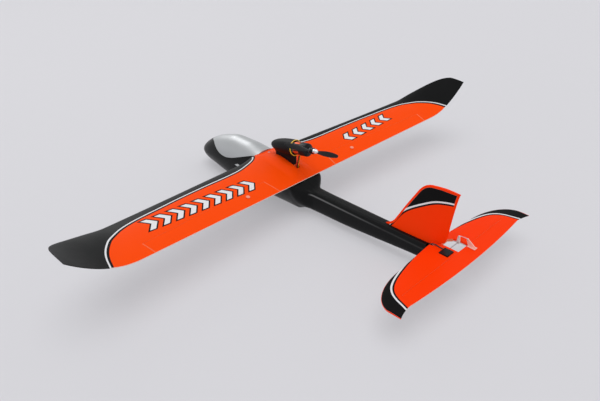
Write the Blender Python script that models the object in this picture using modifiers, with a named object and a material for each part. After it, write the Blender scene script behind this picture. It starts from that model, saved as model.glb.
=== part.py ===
"""A foam pusher motor glider of 1.1 m span: high wing with turned-up tips, pod and
boom fuselage, motor nacelle on a pylon over the wing, fixed fin and low tailplane.

Metres. +Z is up, the nose points to -Y, the left wing is on +X.
The origin lies on the floor, under the middle of the whole length."""

import math

import bmesh
import bpy
from mathutils import Matrix, Vector

NAME = "rc_motor_glider"
GAP = 0.0003                # between pieces that touch

# Wing, one half: straight edges given at the centre and their slope along the span.
HALF_SPAN = 0.550
WING_LE = -0.1552
WING_LE_SWEEP = 0.1065
WING_TE = -0.0218
WING_TE_SWEEP = 0.0643
WING_TE_HEIGHT = 0.073
DIHEDRAL = 0.050            # rise per metre of span
TIP_START = 0.44            # where the leading edge starts to round
TIP_ROUND = 0.074           # how far it sweeps back
UPSWEEP_START = 0.42
UPSWEEP = 3.2
EDGE_THICKNESS = 0.0014     # of a trailing edge
ROOT_X = GAP / 2            # the wing halves meet at the centre

# Ailerons: hinge line at its inner and outer end, and the ends of the trailing edge.
HINGE_IN = (0.0930, -0.0560)
HINGE_OUT = (0.4005, -0.0250)
AILERON_TE_IN = (0.0830, -0.0100)
AILERON_TE_OUT = (0.3925, 0.0100)
HINGE_GAP = 0.0004          # each side of the hinge line
HINGE_DEPTH = 0.0006        # axis below the top skin
HINGE_BEVEL = math.radians(28.0)

# Aileron linkage, in a frame on the hinge line: X along it, Y to the rear, Z up.
LINK_X = 0.159              # where along the span
LINK_RADIUS = 0.018         # hinge axis to horn hole, and servo axis to arm hole
SERVO_PIVOT = (-0.052, -0.001)
SERVO_LENGTH = 0.020
SERVO_HEIGHT = 0.020
SERVO_THICKNESS = 0.010
ROD_RADIUS = 0.0006
ROD_HOLE = 0.0010
ROD_OFFSET = 0.0036         # rod beside the arm and the horn
ARM_THICKNESS = 0.0020

# Tail
TAIL_HALF_SPAN = 0.209
TAIL_PLANE = 0.060
TAIL_LE = 0.2925
TAIL_TE = 0.3690
TAIL_BOW = 0.0085           # the trailing edge stands out at the middle
TAIL_THICKNESS = 0.0056
ELEVATOR_HINGE = 0.3455
ELEVATOR_HALF_SPAN = 0.165
FIN_FOOT = 0.0568
FIN_THICKNESS = 0.0060

# Elevator drive: a cross shaft from the servo to an upright arm.
TAIL_SERVO_X = (0.0045, 0.0245)
TAIL_SERVO_Y = (0.3225, 0.3405)
CROSS_SHAFT = (0.3275, 0.0605)
CROSS_SHAFT_RADIUS = 0.0010
CROSS_SHAFT_END = -0.0400
TAIL_ARM_X = -0.0325
TAIL_ARM_RADIUS = 0.012

# Thrust line: through the propeller's middle, its rear end tilted up.
HUB = (0.0, -0.0075, 0.1425)
THRUST_TILT = math.radians(10.4)
PROP_RADIUS = 0.082
PROP_BLADE_ANGLE = math.radians(-27.0)
NACELLE_RIM = 0.050         # distances forward of the propeller
NACELLE_NOSE = 0.123
NACELLE_RADIUS = 0.0178
MOTOR_RADIUS = 0.0140

# Pylon foot and the openings in the wing's middle
PYLON_Y = (-0.112, -0.058)
PYLON_HALF_WIDTH = 0.0045
PYLON_FOOT = 0.0795
WIRE_HOLE_Y = (-0.0565, -0.0470)
WIRE_HOLE_HALF_WIDTH = 0.0050
SCREW_Y = -0.1385
SPAR_Y = -0.118
SPAR_Z = 0.0865
SPAR_RADIUS = 0.0030
SPAR_HALF_LENGTH = 0.080

# Fuselage: y, half width, height of the widest point, top, bottom, and how square
# the upper and lower halves are (2 is an ellipse).
BELLY = 0.0
FUSELAGE = (
    (-0.3685, 0.0030, 0.0320, 0.0350, 0.0291, 2.0, 2.0),
    (-0.3660, 0.0100, 0.0330, 0.0426, 0.0228, 2.0, 1.9),
    (-0.3572, 0.0173, 0.0351, 0.0521, 0.0156, 2.0, 1.8),
    (-0.3404, 0.0245, 0.0371, 0.0656, 0.0090, 2.0, 1.6),
    (-0.3166, 0.0299, 0.0411, 0.0801, 0.0050, 2.0, 1.6),
    (-0.2833, 0.0340, 0.0451, 0.0930, 0.0000, 2.0, 1.8),
    (-0.2404, 0.0368, 0.0500, 0.1025, -0.0040, 2.0, 2.1),
    (-0.1976, 0.0378, 0.0550, 0.1025, -0.0040, 2.0, 2.3),
    (-0.1580, 0.0380, 0.060, 0.0970, -0.0040, 2.2, 2.2),
    (-0.1330, 0.0400, 0.062, 0.0940, -0.0040, 3.0, 1.9),
    (-0.0930, 0.0440, 0.065, 0.0920, -0.0054, 5.0, 1.6),
    (-0.0530, 0.0450, 0.066, 0.0880, -0.0058, 5.0, 1.5),
    (-0.0380, 0.0446, 0.066, 0.0840, -0.0056, 5.0, 1.5),
    (-0.0250, 0.0440, 0.060, 0.0722, 0.0020, 5.0, 1.5),
    (-0.0130, 0.0340, 0.057, 0.0650, 0.0060, 4.0, 1.8),
    (-0.0030, 0.0200, 0.052, 0.0585, 0.0080, 4.0, 2.6),
    (0.0070, 0.0155, 0.045, 0.0565, 0.0085, 4.5, 3.4),
    (0.0870, 0.0145, 0.042, 0.0560, 0.0100, 4.5, 3.4),
    (0.1670, 0.0135, 0.042, 0.0560, 0.0145, 4.5, 3.4),
    (0.2470, 0.0125, 0.042, 0.0565, 0.0200, 4.5, 3.4),
    (0.2920, 0.0120, 0.042, 0.0565, 0.0225, 4.5, 3.4),
    (0.3065, 0.0100, 0.042, 0.0560, 0.0260, 3.5, 3.0),
)
BAY_FLOOR = 0.0110
BAY = (
    (-0.3480, 0.0120, 0.0370, 0.0540, 0.0190, 2.0, 1.9),
    (-0.3340, 0.0190, 0.0385, 0.0630, 0.0140, 2.0, 1.7),
    (-0.3050, 0.0255, 0.0420, 0.0790, 0.0060, 2.0, 1.9),
    (-0.2700, 0.0295, 0.0465, 0.0905, 0.0020, 2.0, 2.1),
    (-0.2350, 0.0315, 0.0505, 0.0968, -0.0010, 2.0, 2.3),
    (-0.2000, 0.0320, 0.054, 0.0960, -0.0010, 2.0, 2.4),
    (-0.1700, 0.0320, 0.056, 0.0900, -0.0010, 2.0, 2.4),
    (-0.1500, 0.0315, 0.054, 0.0700, -0.0010, 2.4, 2.2),
    (-0.1000, 0.0300, 0.050, 0.0640, 0.0030, 2.6, 2.0),
    (-0.0500, 0.0290, 0.048, 0.0620, 0.0050, 2.6, 2.0),
    (-0.0300, 0.0250, 0.047, 0.0580, 0.0080, 2.4, 2.0),
    (-0.0120, 0.0140, 0.045, 0.0530, 0.0140, 2.6, 2.2),
    (0.0050, 0.0105, 0.043, 0.0505, 0.0150, 3.0, 3.0),
    (0.0870, 0.0095, 0.042, 0.0505, 0.0165, 3.0, 3.0),
    (0.1670, 0.0085, 0.042, 0.0500, 0.0205, 3.0, 3.0),
    (0.2470, 0.0080, 0.042, 0.0510, 0.0260, 3.0, 3.0),
    (0.2900, 0.0080, 0.042, 0.0510, 0.0290, 3.0, 3.0),
)
SECTION_POINTS = 28

# Hatch parting line, seen from the side (y, z): down behind the nose, then up to
# the wing's leading edge.
HATCH_LINE = ((-0.3450, 0.0722), (-0.3290, 0.0726), (-0.3116, 0.0732), (-0.3033, 0.0705),
              (-0.2933, 0.0660), (-0.2850, 0.0620), (-0.2747, 0.0588), (-0.2661, 0.0576),
              (-0.2560, 0.0573), (-0.2450, 0.0585), (-0.2254, 0.0642), (-0.1997, 0.0743),
              (-0.1818, 0.0812), (-0.1675, 0.0862))
HATCH_REAR = -0.1525
HATCH_TOP = 0.130
HATCH_GAP = 0.0004

parts = None
cutters = None


# ---------------------------------------------------------------- scene and helpers

def start_scene():
    global parts, cutters
    for obj in list(bpy.data.objects):
        bpy.data.objects.remove(obj, do_unlink=True)
    parts = bpy.data.collections.new(NAME)
    cutters = bpy.data.collections.new(NAME + "_cutters")
    bpy.context.scene.collection.children.link(parts)
    bpy.context.scene.collection.children.link(cutters)


def material(name, color, roughness, metallic=0.0):
    mat = bpy.data.materials.get(name)
    if mat:
        return mat
    mat = bpy.data.materials.new(name)
    mat.use_nodes = True
    shader = mat.node_tree.nodes["Principled BSDF"]
    shader.inputs["Base Color"].default_value = (*color, 1.0)
    shader.inputs["Roughness"].default_value = roughness
    shader.inputs["Metallic"].default_value = metallic
    return mat


def black_foam():
    return material("black_foam", (0.012, 0.012, 0.014), 0.45)


def orange_foam():
    return material("orange_foam", (0.90, 0.075, 0.005), 0.50)


def silver_paint():
    return material("silver_paint", (0.42, 0.43, 0.44), 0.30, 0.6)


def black_plastic():
    return material("black_plastic", (0.015, 0.015, 0.016), 0.40)


def white_plastic():
    return material("white_plastic", (0.80, 0.80, 0.80), 0.40)


def steel():
    return material("steel", (0.55, 0.55, 0.56), 0.30, 1.0)


def aluminium():
    return material("aluminium", (0.70, 0.70, 0.72), 0.35, 1.0)


def empty(name, matrix):
    obj = bpy.data.objects.new(name, None)
    parts.objects.link(obj)
    obj.matrix_world = matrix
    return obj


def from_bmesh(name, bm, mat, collection=None, parent=None, smooth=35.0):
    bmesh.ops.recalc_face_normals(bm, faces=bm.faces)
    mesh = bpy.data.meshes.new(name)
    bm.to_mesh(mesh)
    bm.free()
    mesh.shade_smooth()
    mesh.set_sharp_from_angle(angle=math.radians(smooth))
    if mat:
        mesh.materials.append(mat)
    obj = bpy.data.objects.new(name, mesh)
    (collection or parts).objects.link(obj)
    if parent:
        obj.parent = parent
    if collection is cutters:
        obj.hide_render = True
        obj.display_type = "WIRE"
    return obj


def box(name, low, high, mat=None, collection=None, parent=None, bevel=0.0):
    bm = bmesh.new()
    bmesh.ops.create_cube(bm, size=1.0)
    for vert in bm.verts:
        vert.co = Vector([low[i] if vert.co[i] < 0 else high[i] for i in range(3)])
    if bevel:
        bmesh.ops.bevel(bm, geom=bm.edges[:], offset=bevel, segments=1, affect="EDGES")
    return from_bmesh(name, bm, mat, collection, parent)


def cylinder(name, start, end, radius, mat=None, collection=None, parent=None, sides=16):
    start, end = Vector(start), Vector(end)
    bm = bmesh.new()
    bmesh.ops.create_cone(bm, cap_ends=True, segments=sides, radius1=radius,
                          radius2=radius, depth=(end - start).length)
    turn = (end - start).to_track_quat("Z", "Y").to_matrix().to_4x4()
    bmesh.ops.transform(bm, matrix=Matrix.Translation((start + end) / 2) @ turn, verts=bm.verts)
    return from_bmesh(name, bm, mat, collection, parent)


def loft(name, sections, mat=None, collection=None, parent=None):
    """Skin through closed sections of equal point count, with both ends capped."""
    bm = bmesh.new()
    rings = [[bm.verts.new(point) for point in section] for section in sections]
    for ring, following in zip(rings, rings[1:]):
        for i in range(len(ring)):
            j = (i + 1) % len(ring)
            bm.faces.new((ring[i], ring[j], following[j], following[i]))
    bm.faces.new(rings[0])
    bm.faces.new(rings[-1])
    bmesh.ops.triangulate(bm, faces=bm.faces)
    return from_bmesh(name, bm, mat, collection, parent)


def plate(name, outline, low, high, axis, mat=None, collection=None, parent=None):
    """An outline extruded between two places along an axis. Seen along X the outline
    is (y, z), along Y it is (x, z), along Z it is (x, y)."""
    order = {"X": lambda a, b, c: (c, a, b), "Y": lambda a, b, c: (a, c, b),
             "Z": lambda a, b, c: (a, b, c)}[axis]
    sections = [[order(a, b, place) for a, b in outline] for place in (low, high)]
    return loft(name, sections, mat, collection, parent)


def turned(name, profile, mat, parent, steps=32, collection=None):
    """A Screw of a closed outline of (radius, height) about the local Z axis."""
    mesh = bpy.data.meshes.new(name)
    on_axis = profile[0][0] == 0.0
    count = len(profile)
    edges = [(i, (i + 1) % count) for i in range(count - 1 if on_axis else count)]
    mesh.from_pydata([(r, 0.0, z) for r, z in profile], edges, [])
    if mat:
        mesh.materials.append(mat)
    obj = bpy.data.objects.new(name, mesh)
    (collection or parts).objects.link(obj)
    obj.parent = parent
    screw = obj.modifiers.new("turn", "SCREW")
    screw.axis = "Z"
    screw.angle = math.tau
    screw.steps = screw.render_steps = steps
    screw.use_merge_vertices = True
    screw.merge_threshold = 0.00001
    screw.use_smooth_shade = True
    if collection is cutters:
        obj.hide_render = True
        obj.display_type = "WIRE"
    return obj


def wire(name, points, radius, mat, parent=None):
    curve = bpy.data.curves.new(name, "CURVE")
    curve.dimensions = "3D"
    curve.bevel_depth = radius
    curve.bevel_resolution = 2
    curve.use_fill_caps = True
    curve.materials.append(mat)
    spline = curve.splines.new("POLY")
    spline.points.add(len(points) - 1)
    for target, point in zip(spline.points, points):
        target.co = (*point, 1.0)
    obj = bpy.data.objects.new(name, curve)
    parts.objects.link(obj)
    if parent:
        obj.parent = parent
    return obj


def smooth_path(points, step):
    """Points about a step apart on a smooth curve through the given ones."""
    points = [Vector(p) for p in points]
    ends = [2 * points[0] - points[1]] + points + [2 * points[-1] - points[-2]]
    path = []
    for p0, p1, p2, p3 in zip(ends, ends[1:], ends[2:], ends[3:]):
        count = max(1, round((p2 - p1).length / step))
        for i in range(count):
            t = i / count
            path.append(0.5 * (2 * p1 + (p2 - p0) * t + (2 * p0 - 5 * p1 + 4 * p2 - p3) * t * t
                               + (3 * p1 - p0 - 3 * p2 + p3) * t ** 3))
    return path + [points[-1]]


def cut(obj, *tools, join="DIFFERENCE"):
    for tool in tools:
        change = obj.modifiers.new(join.lower(), "BOOLEAN")
        change.operation = join
        change.solver = "EXACT"
        change.object = tool
    return obj


def disc(center, radius, count=12, start=0.0, sweep=math.tau):
    steps = count if sweep == math.tau else count - 1
    return [(center[0] + radius * math.cos(start + sweep * i / steps),
             center[1] + radius * math.sin(start + sweep * i / steps)) for i in range(count)]


def blend(x, x0, x1):
    t = min(max((x - x0) / (x1 - x0), 0.0), 1.0)
    return t * t * (3 - 2 * t)


# ---------------------------------------------------------------- wing shape

def thickness_law(s):
    """Thickness along the chord from nose 0 to tail 1, with a highest value of 1."""
    return 10 * (0.2969 * math.sqrt(s) - 0.1260 * s - 0.3516 * s ** 2
                 + 0.2843 * s ** 3 - 0.1036 * s ** 4)


def wing_edges(x):
    """Leading and trailing edge (y) at a distance x from the centre."""
    rounding = min(max((x - TIP_START) / (HALF_SPAN + 0.001 - TIP_START), 0.0), 1.0)
    front = WING_LE + WING_LE_SWEEP * x + TIP_ROUND * (1 - math.sqrt(1 - rounding ** 2.2))
    front -= 0.009 * (1 - blend(x, 0.022, 0.085))
    return front, WING_TE + WING_TE_SWEEP * x - 0.004 * max(0.0, (x - 0.46) / 0.09) ** 0.8


def wing_height(x, s, upper):
    """Height of the skin at a distance x from the centre and chord position s."""
    base = WING_TE_HEIGHT + DIHEDRAL * x + UPSWEEP * max(0.0, x - UPSWEEP_START) ** 2
    tip = blend(x, 0.45, HALF_SPAN)
    rise = 0.0095 - 0.002 * blend(x, 0.0, 0.4) - 0.0055 * tip
    over = 0.0115 + 0.0032 * (1 - blend(x, 0.0, 0.07)) - 0.0015 * blend(x, 0.07, 0.4) - 0.0082 * tip
    hump = 0.0104 * blend(s, 0.08, 0.50) * (1 - blend(s, 0.76, 1.0)) * (1 - blend(x, 0.004, 0.036))
    under = 0.0040 - 0.0032 * tip
    edge = EDGE_THICKNESS / 2 * s
    if upper:
        return base + rise * (1 - s) + over * thickness_law(s) + hump + edge
    return base + rise * (1 - s) - under * thickness_law(s) - edge


def wing_section(x, side, grow=0.0, lid=None):
    """Points round the wing at x, from the upper tail over the nose to the lower
    tail. A lid replaces the upper skin by a flat top, for a cutter."""
    front, back = wing_edges(x)
    front, back = front - grow, back + grow
    spots = [0.5 * (1 + math.cos(math.pi * i / 11)) for i in range(12)]
    points = []
    for s in spots[:-1]:
        height = lid if lid else wing_height(x, s, True) + grow
        points.append((side * x, front + (back - front) * s, height))
    for s in reversed(spots):
        height = wing_height(x, s, False) - (grow if s > 0.0 else 0.0)
        points.append((side * x, front + (back - front) * s, height))
    return points


def wing_stations(start):
    inner = [start, 0.006, 0.012, 0.020, 0.028, 0.036, 0.048, 0.065, 0.085, 0.16, 0.24, 0.32, 0.40]
    tip = [0.435, 0.465, 0.49, 0.51, 0.525, 0.537, 0.545, HALF_SPAN]
    return inner + tip


def whole_wing(name, side, mat=None, collection=None):
    return loft(name, [wing_section(x, side) for x in wing_stations(ROOT_X)], mat, collection)


def hinge_point(place):
    x, y = place
    front, back = wing_edges(x)
    return Vector((x, y, wing_height(x, (y - front) / (back - front), True) - HINGE_DEPTH))


def hinge_frame(side):
    """Frame on an aileron's hinge axis at the linkage: X along it to the left,
    Y to the rear, Z up."""
    inner, outer = hinge_point(HINGE_IN), hinge_point(HINGE_OUT)
    along = (outer - inner) / (outer.x - inner.x)
    origin = inner + along * (LINK_X - inner.x)
    origin.x *= side
    x_axis = Vector((along.x, side * along.y, side * along.z)).normalized()
    y_axis = Vector((0, 0, 1)).cross(x_axis).normalized()
    z_axis = x_axis.cross(y_axis)
    return Matrix.Translation(origin) @ Matrix((x_axis, y_axis, z_axis)).transposed().to_4x4()


def local_skin(y, upper):
    """Height of the wing skin above the hinge axis at the linkage, y behind it."""
    middle = hinge_frame(1).translation
    front, back = wing_edges(LINK_X)
    return wing_height(LINK_X, (middle.y + y - front) / (back - front), upper) - middle.z


def aileron_outline(side, grow):
    """The aileron's corners seen from above, shrunk or grown at its ends."""
    corners = ((HINGE_IN, -1), (AILERON_TE_IN, -1), (AILERON_TE_OUT, 1), (HINGE_OUT, 1))
    return [(side * (x + end * grow), y) for (x, y), end in corners]


def make_wing(side, word):
    panel = whole_wing("wing_" + word, side, orange_foam())
    bay = plate("cut_aileron_bay_" + word, aileron_outline(side, HINGE_GAP), 0.0, 0.2, "Z",
                collection=cutters)
    shift = Matrix.Translation((0, -HINGE_GAP, 0))
    bay.data.transform(shift)
    frame = hinge_frame(side)
    pivot_y, pivot_z = SERVO_PIVOT
    pocket = box("cut_servo_pocket_" + word, (-0.0036, pivot_y - 0.0150, -0.040),
                 (SERVO_HEIGHT + 0.0034, pivot_y + 0.0068, pivot_z + SERVO_THICKNESS / 2 + 0.0004),
                 collection=cutters)
    pocket.matrix_world = frame
    cut(panel, bay, pocket, bpy.data.objects["cut_spar"], bpy.data.objects["cut_pylon"],
        bpy.data.objects["cut_wires"], bpy.data.objects["cut_screw"],
        bpy.data.objects["cut_screw_head"])
    return panel


def make_aileron(side, word):
    flap = whole_wing("aileron_" + word, side, orange_foam())
    keep = plate("keep_aileron_" + word, aileron_outline(side, -HINGE_GAP), 0.0, 0.2, "Z",
                 collection=cutters)
    frame = hinge_frame(side)
    slope = math.tan(HINGE_BEVEL) * 0.03
    bevel = plate("cut_bevel_" + word, ((-0.01, 0.02), (HINGE_GAP, 0.02), (HINGE_GAP, 0.0),
                                        (HINGE_GAP + slope, -0.03), (-0.01, -0.03)),
                  -0.35, 0.35, "X", collection=cutters)
    bevel.matrix_world = frame
    flap.data.transform(frame.inverted())
    flap.matrix_world = frame
    return cut(flap, keep, join="INTERSECT") and cut(flap, bevel)


def make_aileron_linkage(side, word):
    frame = empty("aileron_link_" + word, hinge_frame(side))
    pivot_y, pivot_z = SERVO_PIVOT
    half = SERVO_THICKNESS / 2
    body = box("aileron_servo_" + word, (0.0030, pivot_y - 0.0142, pivot_z - half),
               (0.0030 + SERVO_HEIGHT, pivot_y - 0.0142 + SERVO_LENGTH, pivot_z + half),
               black_plastic(), parent=frame, bevel=0.0006)
    boss = cylinder("add_servo_boss_" + word, (0.0012, pivot_y, pivot_z),
                    (0.0040, pivot_y, pivot_z), 0.0030, collection=cutters, parent=frame)
    cut(body, boss, join="UNION")

    arm_x = (0.0012 - GAP - ARM_THICKNESS, 0.0012 - GAP)
    at_servo = empty("servo_axis_" + word, Matrix())
    at_servo.parent = frame
    at_servo.location = (0.0, pivot_y, pivot_z)
    arm = plate("aileron_servo_arm_" + word, arm_outline(LINK_RADIUS, -1), arm_x[0], arm_x[1], "X",
                white_plastic(), parent=at_servo)
    cut(arm, rod_hole("cut_arm_hole_" + word, (0.0, -LINK_RADIUS), at_servo))

    near, far = 0.0070, 0.0210
    skin_near, skin_far = local_skin(near, False) - 2 * GAP, local_skin(far, False) - 2 * GAP
    horn_outline = [(near, skin_near), (far, skin_far), (far, skin_far - 0.0015),
                    (0.0105, skin_far - 0.0040),
                    *disc((0.0, -LINK_RADIUS), 0.0024, 7, math.radians(-50), -math.radians(200)),
                    (0.0040, skin_near - 0.0022)]
    horn = plate("aileron_horn_" + word, horn_outline, arm_x[0], arm_x[1], "X", white_plastic(),
                 parent=frame)
    foot = plate("add_horn_foot_" + word, ((near, skin_near), (far, skin_far),
                                           (far, skin_far - 0.0010), (near, skin_near - 0.0010)),
                 arm_x[0] - 0.0035, arm_x[1] + 0.0035, "X", collection=cutters, parent=frame)
    cut(horn, foot, join="UNION")
    cut(horn, rod_hole("cut_horn_hole_" + word, (0.0, -LINK_RADIUS), frame))

    middle = (arm_x[0] + arm_x[1]) / 2
    ends = ((pivot_y, pivot_z - LINK_RADIUS), (0.0, -LINK_RADIUS))
    rod_link("aileron_pushrod_" + word, middle, ends, -1, frame)

    middle_y, reach = 0.0165, 0.0042
    front_z, rear_z = local_skin(middle_y - reach, True), local_skin(middle_y + reach, True)
    cap = empty("horn_plate_frame_" + word, Matrix())
    cap.parent = frame
    cap.matrix_local = (Matrix.Translation((0.0, middle_y, (front_z + rear_z) / 2 + 2 * GAP))
                        @ Matrix.Rotation(math.atan2(rear_z - front_z, 2 * reach), 4, "X"))
    cylinder("aileron_horn_plate_" + word, (-0.0010, 0.0, 0.0), (-0.0010, 0.0, 0.0009), reach,
             white_plastic(), parent=cap)


def arm_outline(radius, way):
    """A servo arm seen along its axis: round hub, taper, round tip."""
    turn = math.pi / 2 * way
    hub = disc((0.0, 0.0), 0.0034, 9, turn + math.radians(80), math.radians(200))
    tip = disc((0.0, way * radius), 0.0021, 7, turn - math.radians(80), math.radians(160))
    return hub + tip


def rod_hole(name, place, parent):
    y, z = place
    return cylinder(name, (-0.010, y, z), (0.010, y, z), ROD_HOLE, collection=cutters,
                    parent=parent, sides=12)


def rod_link(name, middle, ends, way, parent):
    """A wire rod whose ends turn through the holes of an arm and a horn."""
    (y0, z0), (y1, z1) = ends
    inside, outside = middle - way * 0.0021, middle + way * ROD_OFFSET
    origin = Vector((middle, y0, z0))
    route = [(inside, y0, z0), (outside - way * 0.0008, y0, z0),
             (outside, y0 + 0.0008, z0 + (z1 - z0) * 0.02), (outside, y1 - 0.0008, z1),
             (outside - way * 0.0008, y1, z1), (inside, y1, z1)]
    rod = wire(name, [Vector(p) - origin for p in route], ROD_RADIUS, steel(), parent)
    rod.location = origin
    return rod


# ---------------------------------------------------------------- fuselage

def body_sections(stations, grow=0.0, floor=BELLY):
    sections = []
    for y, width, middle, top, bottom, over, under in stations:
        ring = []
        for i in range(SECTION_POINTS):
            angle = math.tau * (i + 0.5) / SECTION_POINTS
            c, s = math.cos(angle), math.sin(angle)
            power = 2 / (over if s > 0 else under)
            reach = (top - middle) if s > 0 else (middle - bottom)
            x = math.copysign(abs(c) ** power, c) * (width + grow)
            z = middle + math.copysign(abs(s) ** power, s) * (reach + grow)
            ring.append((x, y, max(z, floor)))
        sections.append(ring)
    return sections


def hatch_tool(name, gap):
    """Everything above the hatch's parting line, lowered by a gap."""
    line = [(y - gap, z - gap) for y, z in HATCH_LINE]
    outline = [(line[0][0], HATCH_TOP)] + line
    outline += [(HATCH_REAR, line[-1][1] + 0.0040), (HATCH_REAR, HATCH_TOP)]
    return plate(name, outline, -0.06, 0.06, "X", collection=cutters)


def wing_tool(name, lid=None):
    """The space of the wing's middle, grown by the usual gap; with a lid, everything
    above it too."""
    stations = [0.06, 0.045, 0.030, 0.018, 0.008, 0.0]
    sections = [wing_section(x, -1, GAP, lid) for x in stations]
    sections += [wing_section(x, 1, GAP, lid) for x in reversed(stations[:-1])]
    return loft(name, sections, collection=cutters)


def make_shared_cutters():
    loft("cut_bay", body_sections(BAY, floor=BAY_FLOOR), collection=cutters)
    hatch_tool("cut_hatch", HATCH_GAP)
    hatch_tool("keep_hatch", 0.0)
    wing_tool("cut_wing_seat", 0.16)
    wing_tool("cut_wing")
    spar_clearance = SPAR_RADIUS + GAP
    reach = SPAR_HALF_LENGTH + GAP
    cylinder("cut_spar", (-reach, SPAR_Y, SPAR_Z), (reach, SPAR_Y, SPAR_Z), spar_clearance,
             collection=cutters, sides=16)
    half = PYLON_HALF_WIDTH + GAP
    box("cut_pylon", (-half, PYLON_Y[0] - GAP, PYLON_FOOT - GAP),
        (half, PYLON_Y[1] + GAP, 0.140), collection=cutters)
    half = WIRE_HOLE_HALF_WIDTH
    box("cut_wires", (-half, WIRE_HOLE_Y[0], 0.050), (half, WIRE_HOLE_Y[1], 0.140),
        collection=cutters)
    cylinder("cut_screw", (0, SCREW_Y, 0.060), (0, SCREW_Y, 0.120), 0.0018, collection=cutters,
             sides=12)
    cylinder("cut_screw_head", (0, SCREW_Y, 0.0915), (0, SCREW_Y, 0.120), 0.0038,
             collection=cutters, sides=16)
    box("cut_lead_hole", (0.0035, 0.2865, 0.046), (0.0100, 0.2965, 0.070), collection=cutters)


def make_fuselage_half(side, word):
    shell = loft("fuselage_" + word, body_sections(FUSELAGE), black_foam())
    low, high = (GAP / 2, 0.08) if side > 0 else (-0.08, -GAP / 2)
    keep = box("keep_half_" + word, (low, -0.40, -0.02), (high, 0.40, 0.20), collection=cutters)
    tools = ("cut_bay", "cut_hatch", "cut_wing_seat", "cut_wires", "cut_screw",
             "cut_lead_hole")
    cut(shell, *[bpy.data.objects[t] for t in tools if t in bpy.data.objects])
    return cut(shell, keep, join="INTERSECT")


def make_hatch():
    hatch = loft("canopy_hatch", body_sections(FUSELAGE[:11]), silver_paint())
    cut(hatch, bpy.data.objects["keep_hatch"], join="INTERSECT")
    return cut(hatch, bpy.data.objects["cut_bay"], bpy.data.objects["cut_wing"])


def make_wing_fasteners():
    cylinder("wing_joiner_tube", (-SPAR_HALF_LENGTH, SPAR_Y, SPAR_Z),
             (SPAR_HALF_LENGTH, SPAR_Y, SPAR_Z), SPAR_RADIUS,
             material("carbon", (0.02, 0.02, 0.022), 0.35), sides=16)
    head, shank, top, low = 0.0034, 0.0015, 0.0952, 0.0665
    axis = empty("screw_axis", Matrix.Translation((0, SCREW_Y, 0)))
    turned("wing_screw", [(0.0, top), (head * 0.8, top), (head, top - 0.0006), (head, 0.0918),
                          (shank, 0.0918), (shank, low + 0.001), (shank * 0.5, low), (0.0, low)],
           steel(), axis, 16)


# ---------------------------------------------------------------- tail

def tail_edges(x):
    x = abs(x)
    rounding = min(max((x - 0.12) / (TAIL_HALF_SPAN + 0.0005 - 0.12), 0.0), 1.0)
    front = TAIL_LE + 0.080 * x + 0.045 * (1 - math.sqrt(1 - rounding ** 2.2))
    bow = TAIL_BOW * (1 - min(x / 0.175, 1.0) ** 2)
    return front, TAIL_TE + bow + 0.0075 * max(0.0, (x - 0.175) / 0.034) ** 2


def tail_section(x):
    front, back = tail_edges(x)
    thick = TAIL_THICKNESS * (1 - 0.55 * blend(abs(x), 0.12, TAIL_HALF_SPAN))
    spots = [0.5 * (1 + math.cos(math.pi * i / 8)) for i in range(9)]
    points = []
    for side, order in ((1, spots[:-1]), (-1, spots[::-1])):
        for s in order:
            half = thick / 2 * thickness_law(s) + 0.0006 * s
            points.append((x, front + (back - front) * s, TAIL_PLANE + side * half))
    return points


def whole_tail(name, mat=None):
    places = [0.0, 0.04, 0.08, 0.12, 0.15, 0.175, 0.19, 0.200, 0.206, TAIL_HALF_SPAN]
    stations = [-x for x in reversed(places[1:])] + places
    return loft(name, [tail_section(x) for x in stations], mat)


def tail_top(y):
    front, back = tail_edges(0.0)
    s = (y - front) / (back - front)
    return TAIL_PLANE + TAIL_THICKNESS / 2 * thickness_law(s) + 0.0006 * s


def elevator_axis():
    return ELEVATOR_HINGE, tail_top(ELEVATOR_HINGE) - HINGE_DEPTH


def make_stabiliser():
    plane = whole_tail("stabiliser", orange_foam())
    half = ELEVATOR_HALF_SPAN + HINGE_GAP
    bay = box("cut_elevator_bay", (-half, ELEVATOR_HINGE - HINGE_GAP, 0.0), (half, 0.42, 0.1),
              collection=cutters)
    window = plate("cut_window", ((-0.0032, 0.3100), (-0.0250, 0.3100), (-0.0325, 0.3165),
                                  (-0.0365, 0.3260), (-0.0355, 0.3500), (-0.0032, 0.3500)),
                   0.0, 0.1, "Z", collection=cutters)
    servo = box("cut_tail_servo", (TAIL_SERVO_X[0] - 0.0014, TAIL_SERVO_Y[0] - 0.0004, 0.0),
                (TAIL_SERVO_X[1] + 0.0004, TAIL_SERVO_Y[1] + 0.0004, 0.1), collection=cutters)
    slot = box("cut_lead_slot", (0.0045, 0.2855, 0.0), (0.0110, 0.3030, 0.1), collection=cutters)
    y, z = CROSS_SHAFT
    bore = cylinder("cut_cross_shaft", (CROSS_SHAFT_END - GAP, y, z), (0.006, y, z),
                    CROSS_SHAFT_RADIUS + 0.0004, collection=cutters, sides=12)
    return cut(plane, bay, window, servo, slot, bore)


def make_elevator():
    flap = whole_tail("elevator", orange_foam())
    y, z = elevator_axis()
    half = ELEVATOR_HALF_SPAN
    keep = box("keep_elevator", (-half, ELEVATOR_HINGE, 0.0), (half, 0.42, 0.1),
               collection=cutters)
    slope = math.tan(HINGE_BEVEL) * 0.03
    bevel = plate("cut_elevator_bevel",
                  ((y - 0.01, z + 0.02), (y + HINGE_GAP, z + 0.02), (y + HINGE_GAP, z),
                   (y + HINGE_GAP + slope, z - 0.03), (y - 0.01, z - 0.03)),
                  -0.3, 0.3, "X", collection=cutters)
    flap.data.transform(Matrix.Translation((0, -y, -z)))
    flap.location = (0, y, z)
    cut(flap, keep, join="INTERSECT")
    return cut(flap, bevel)


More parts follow.
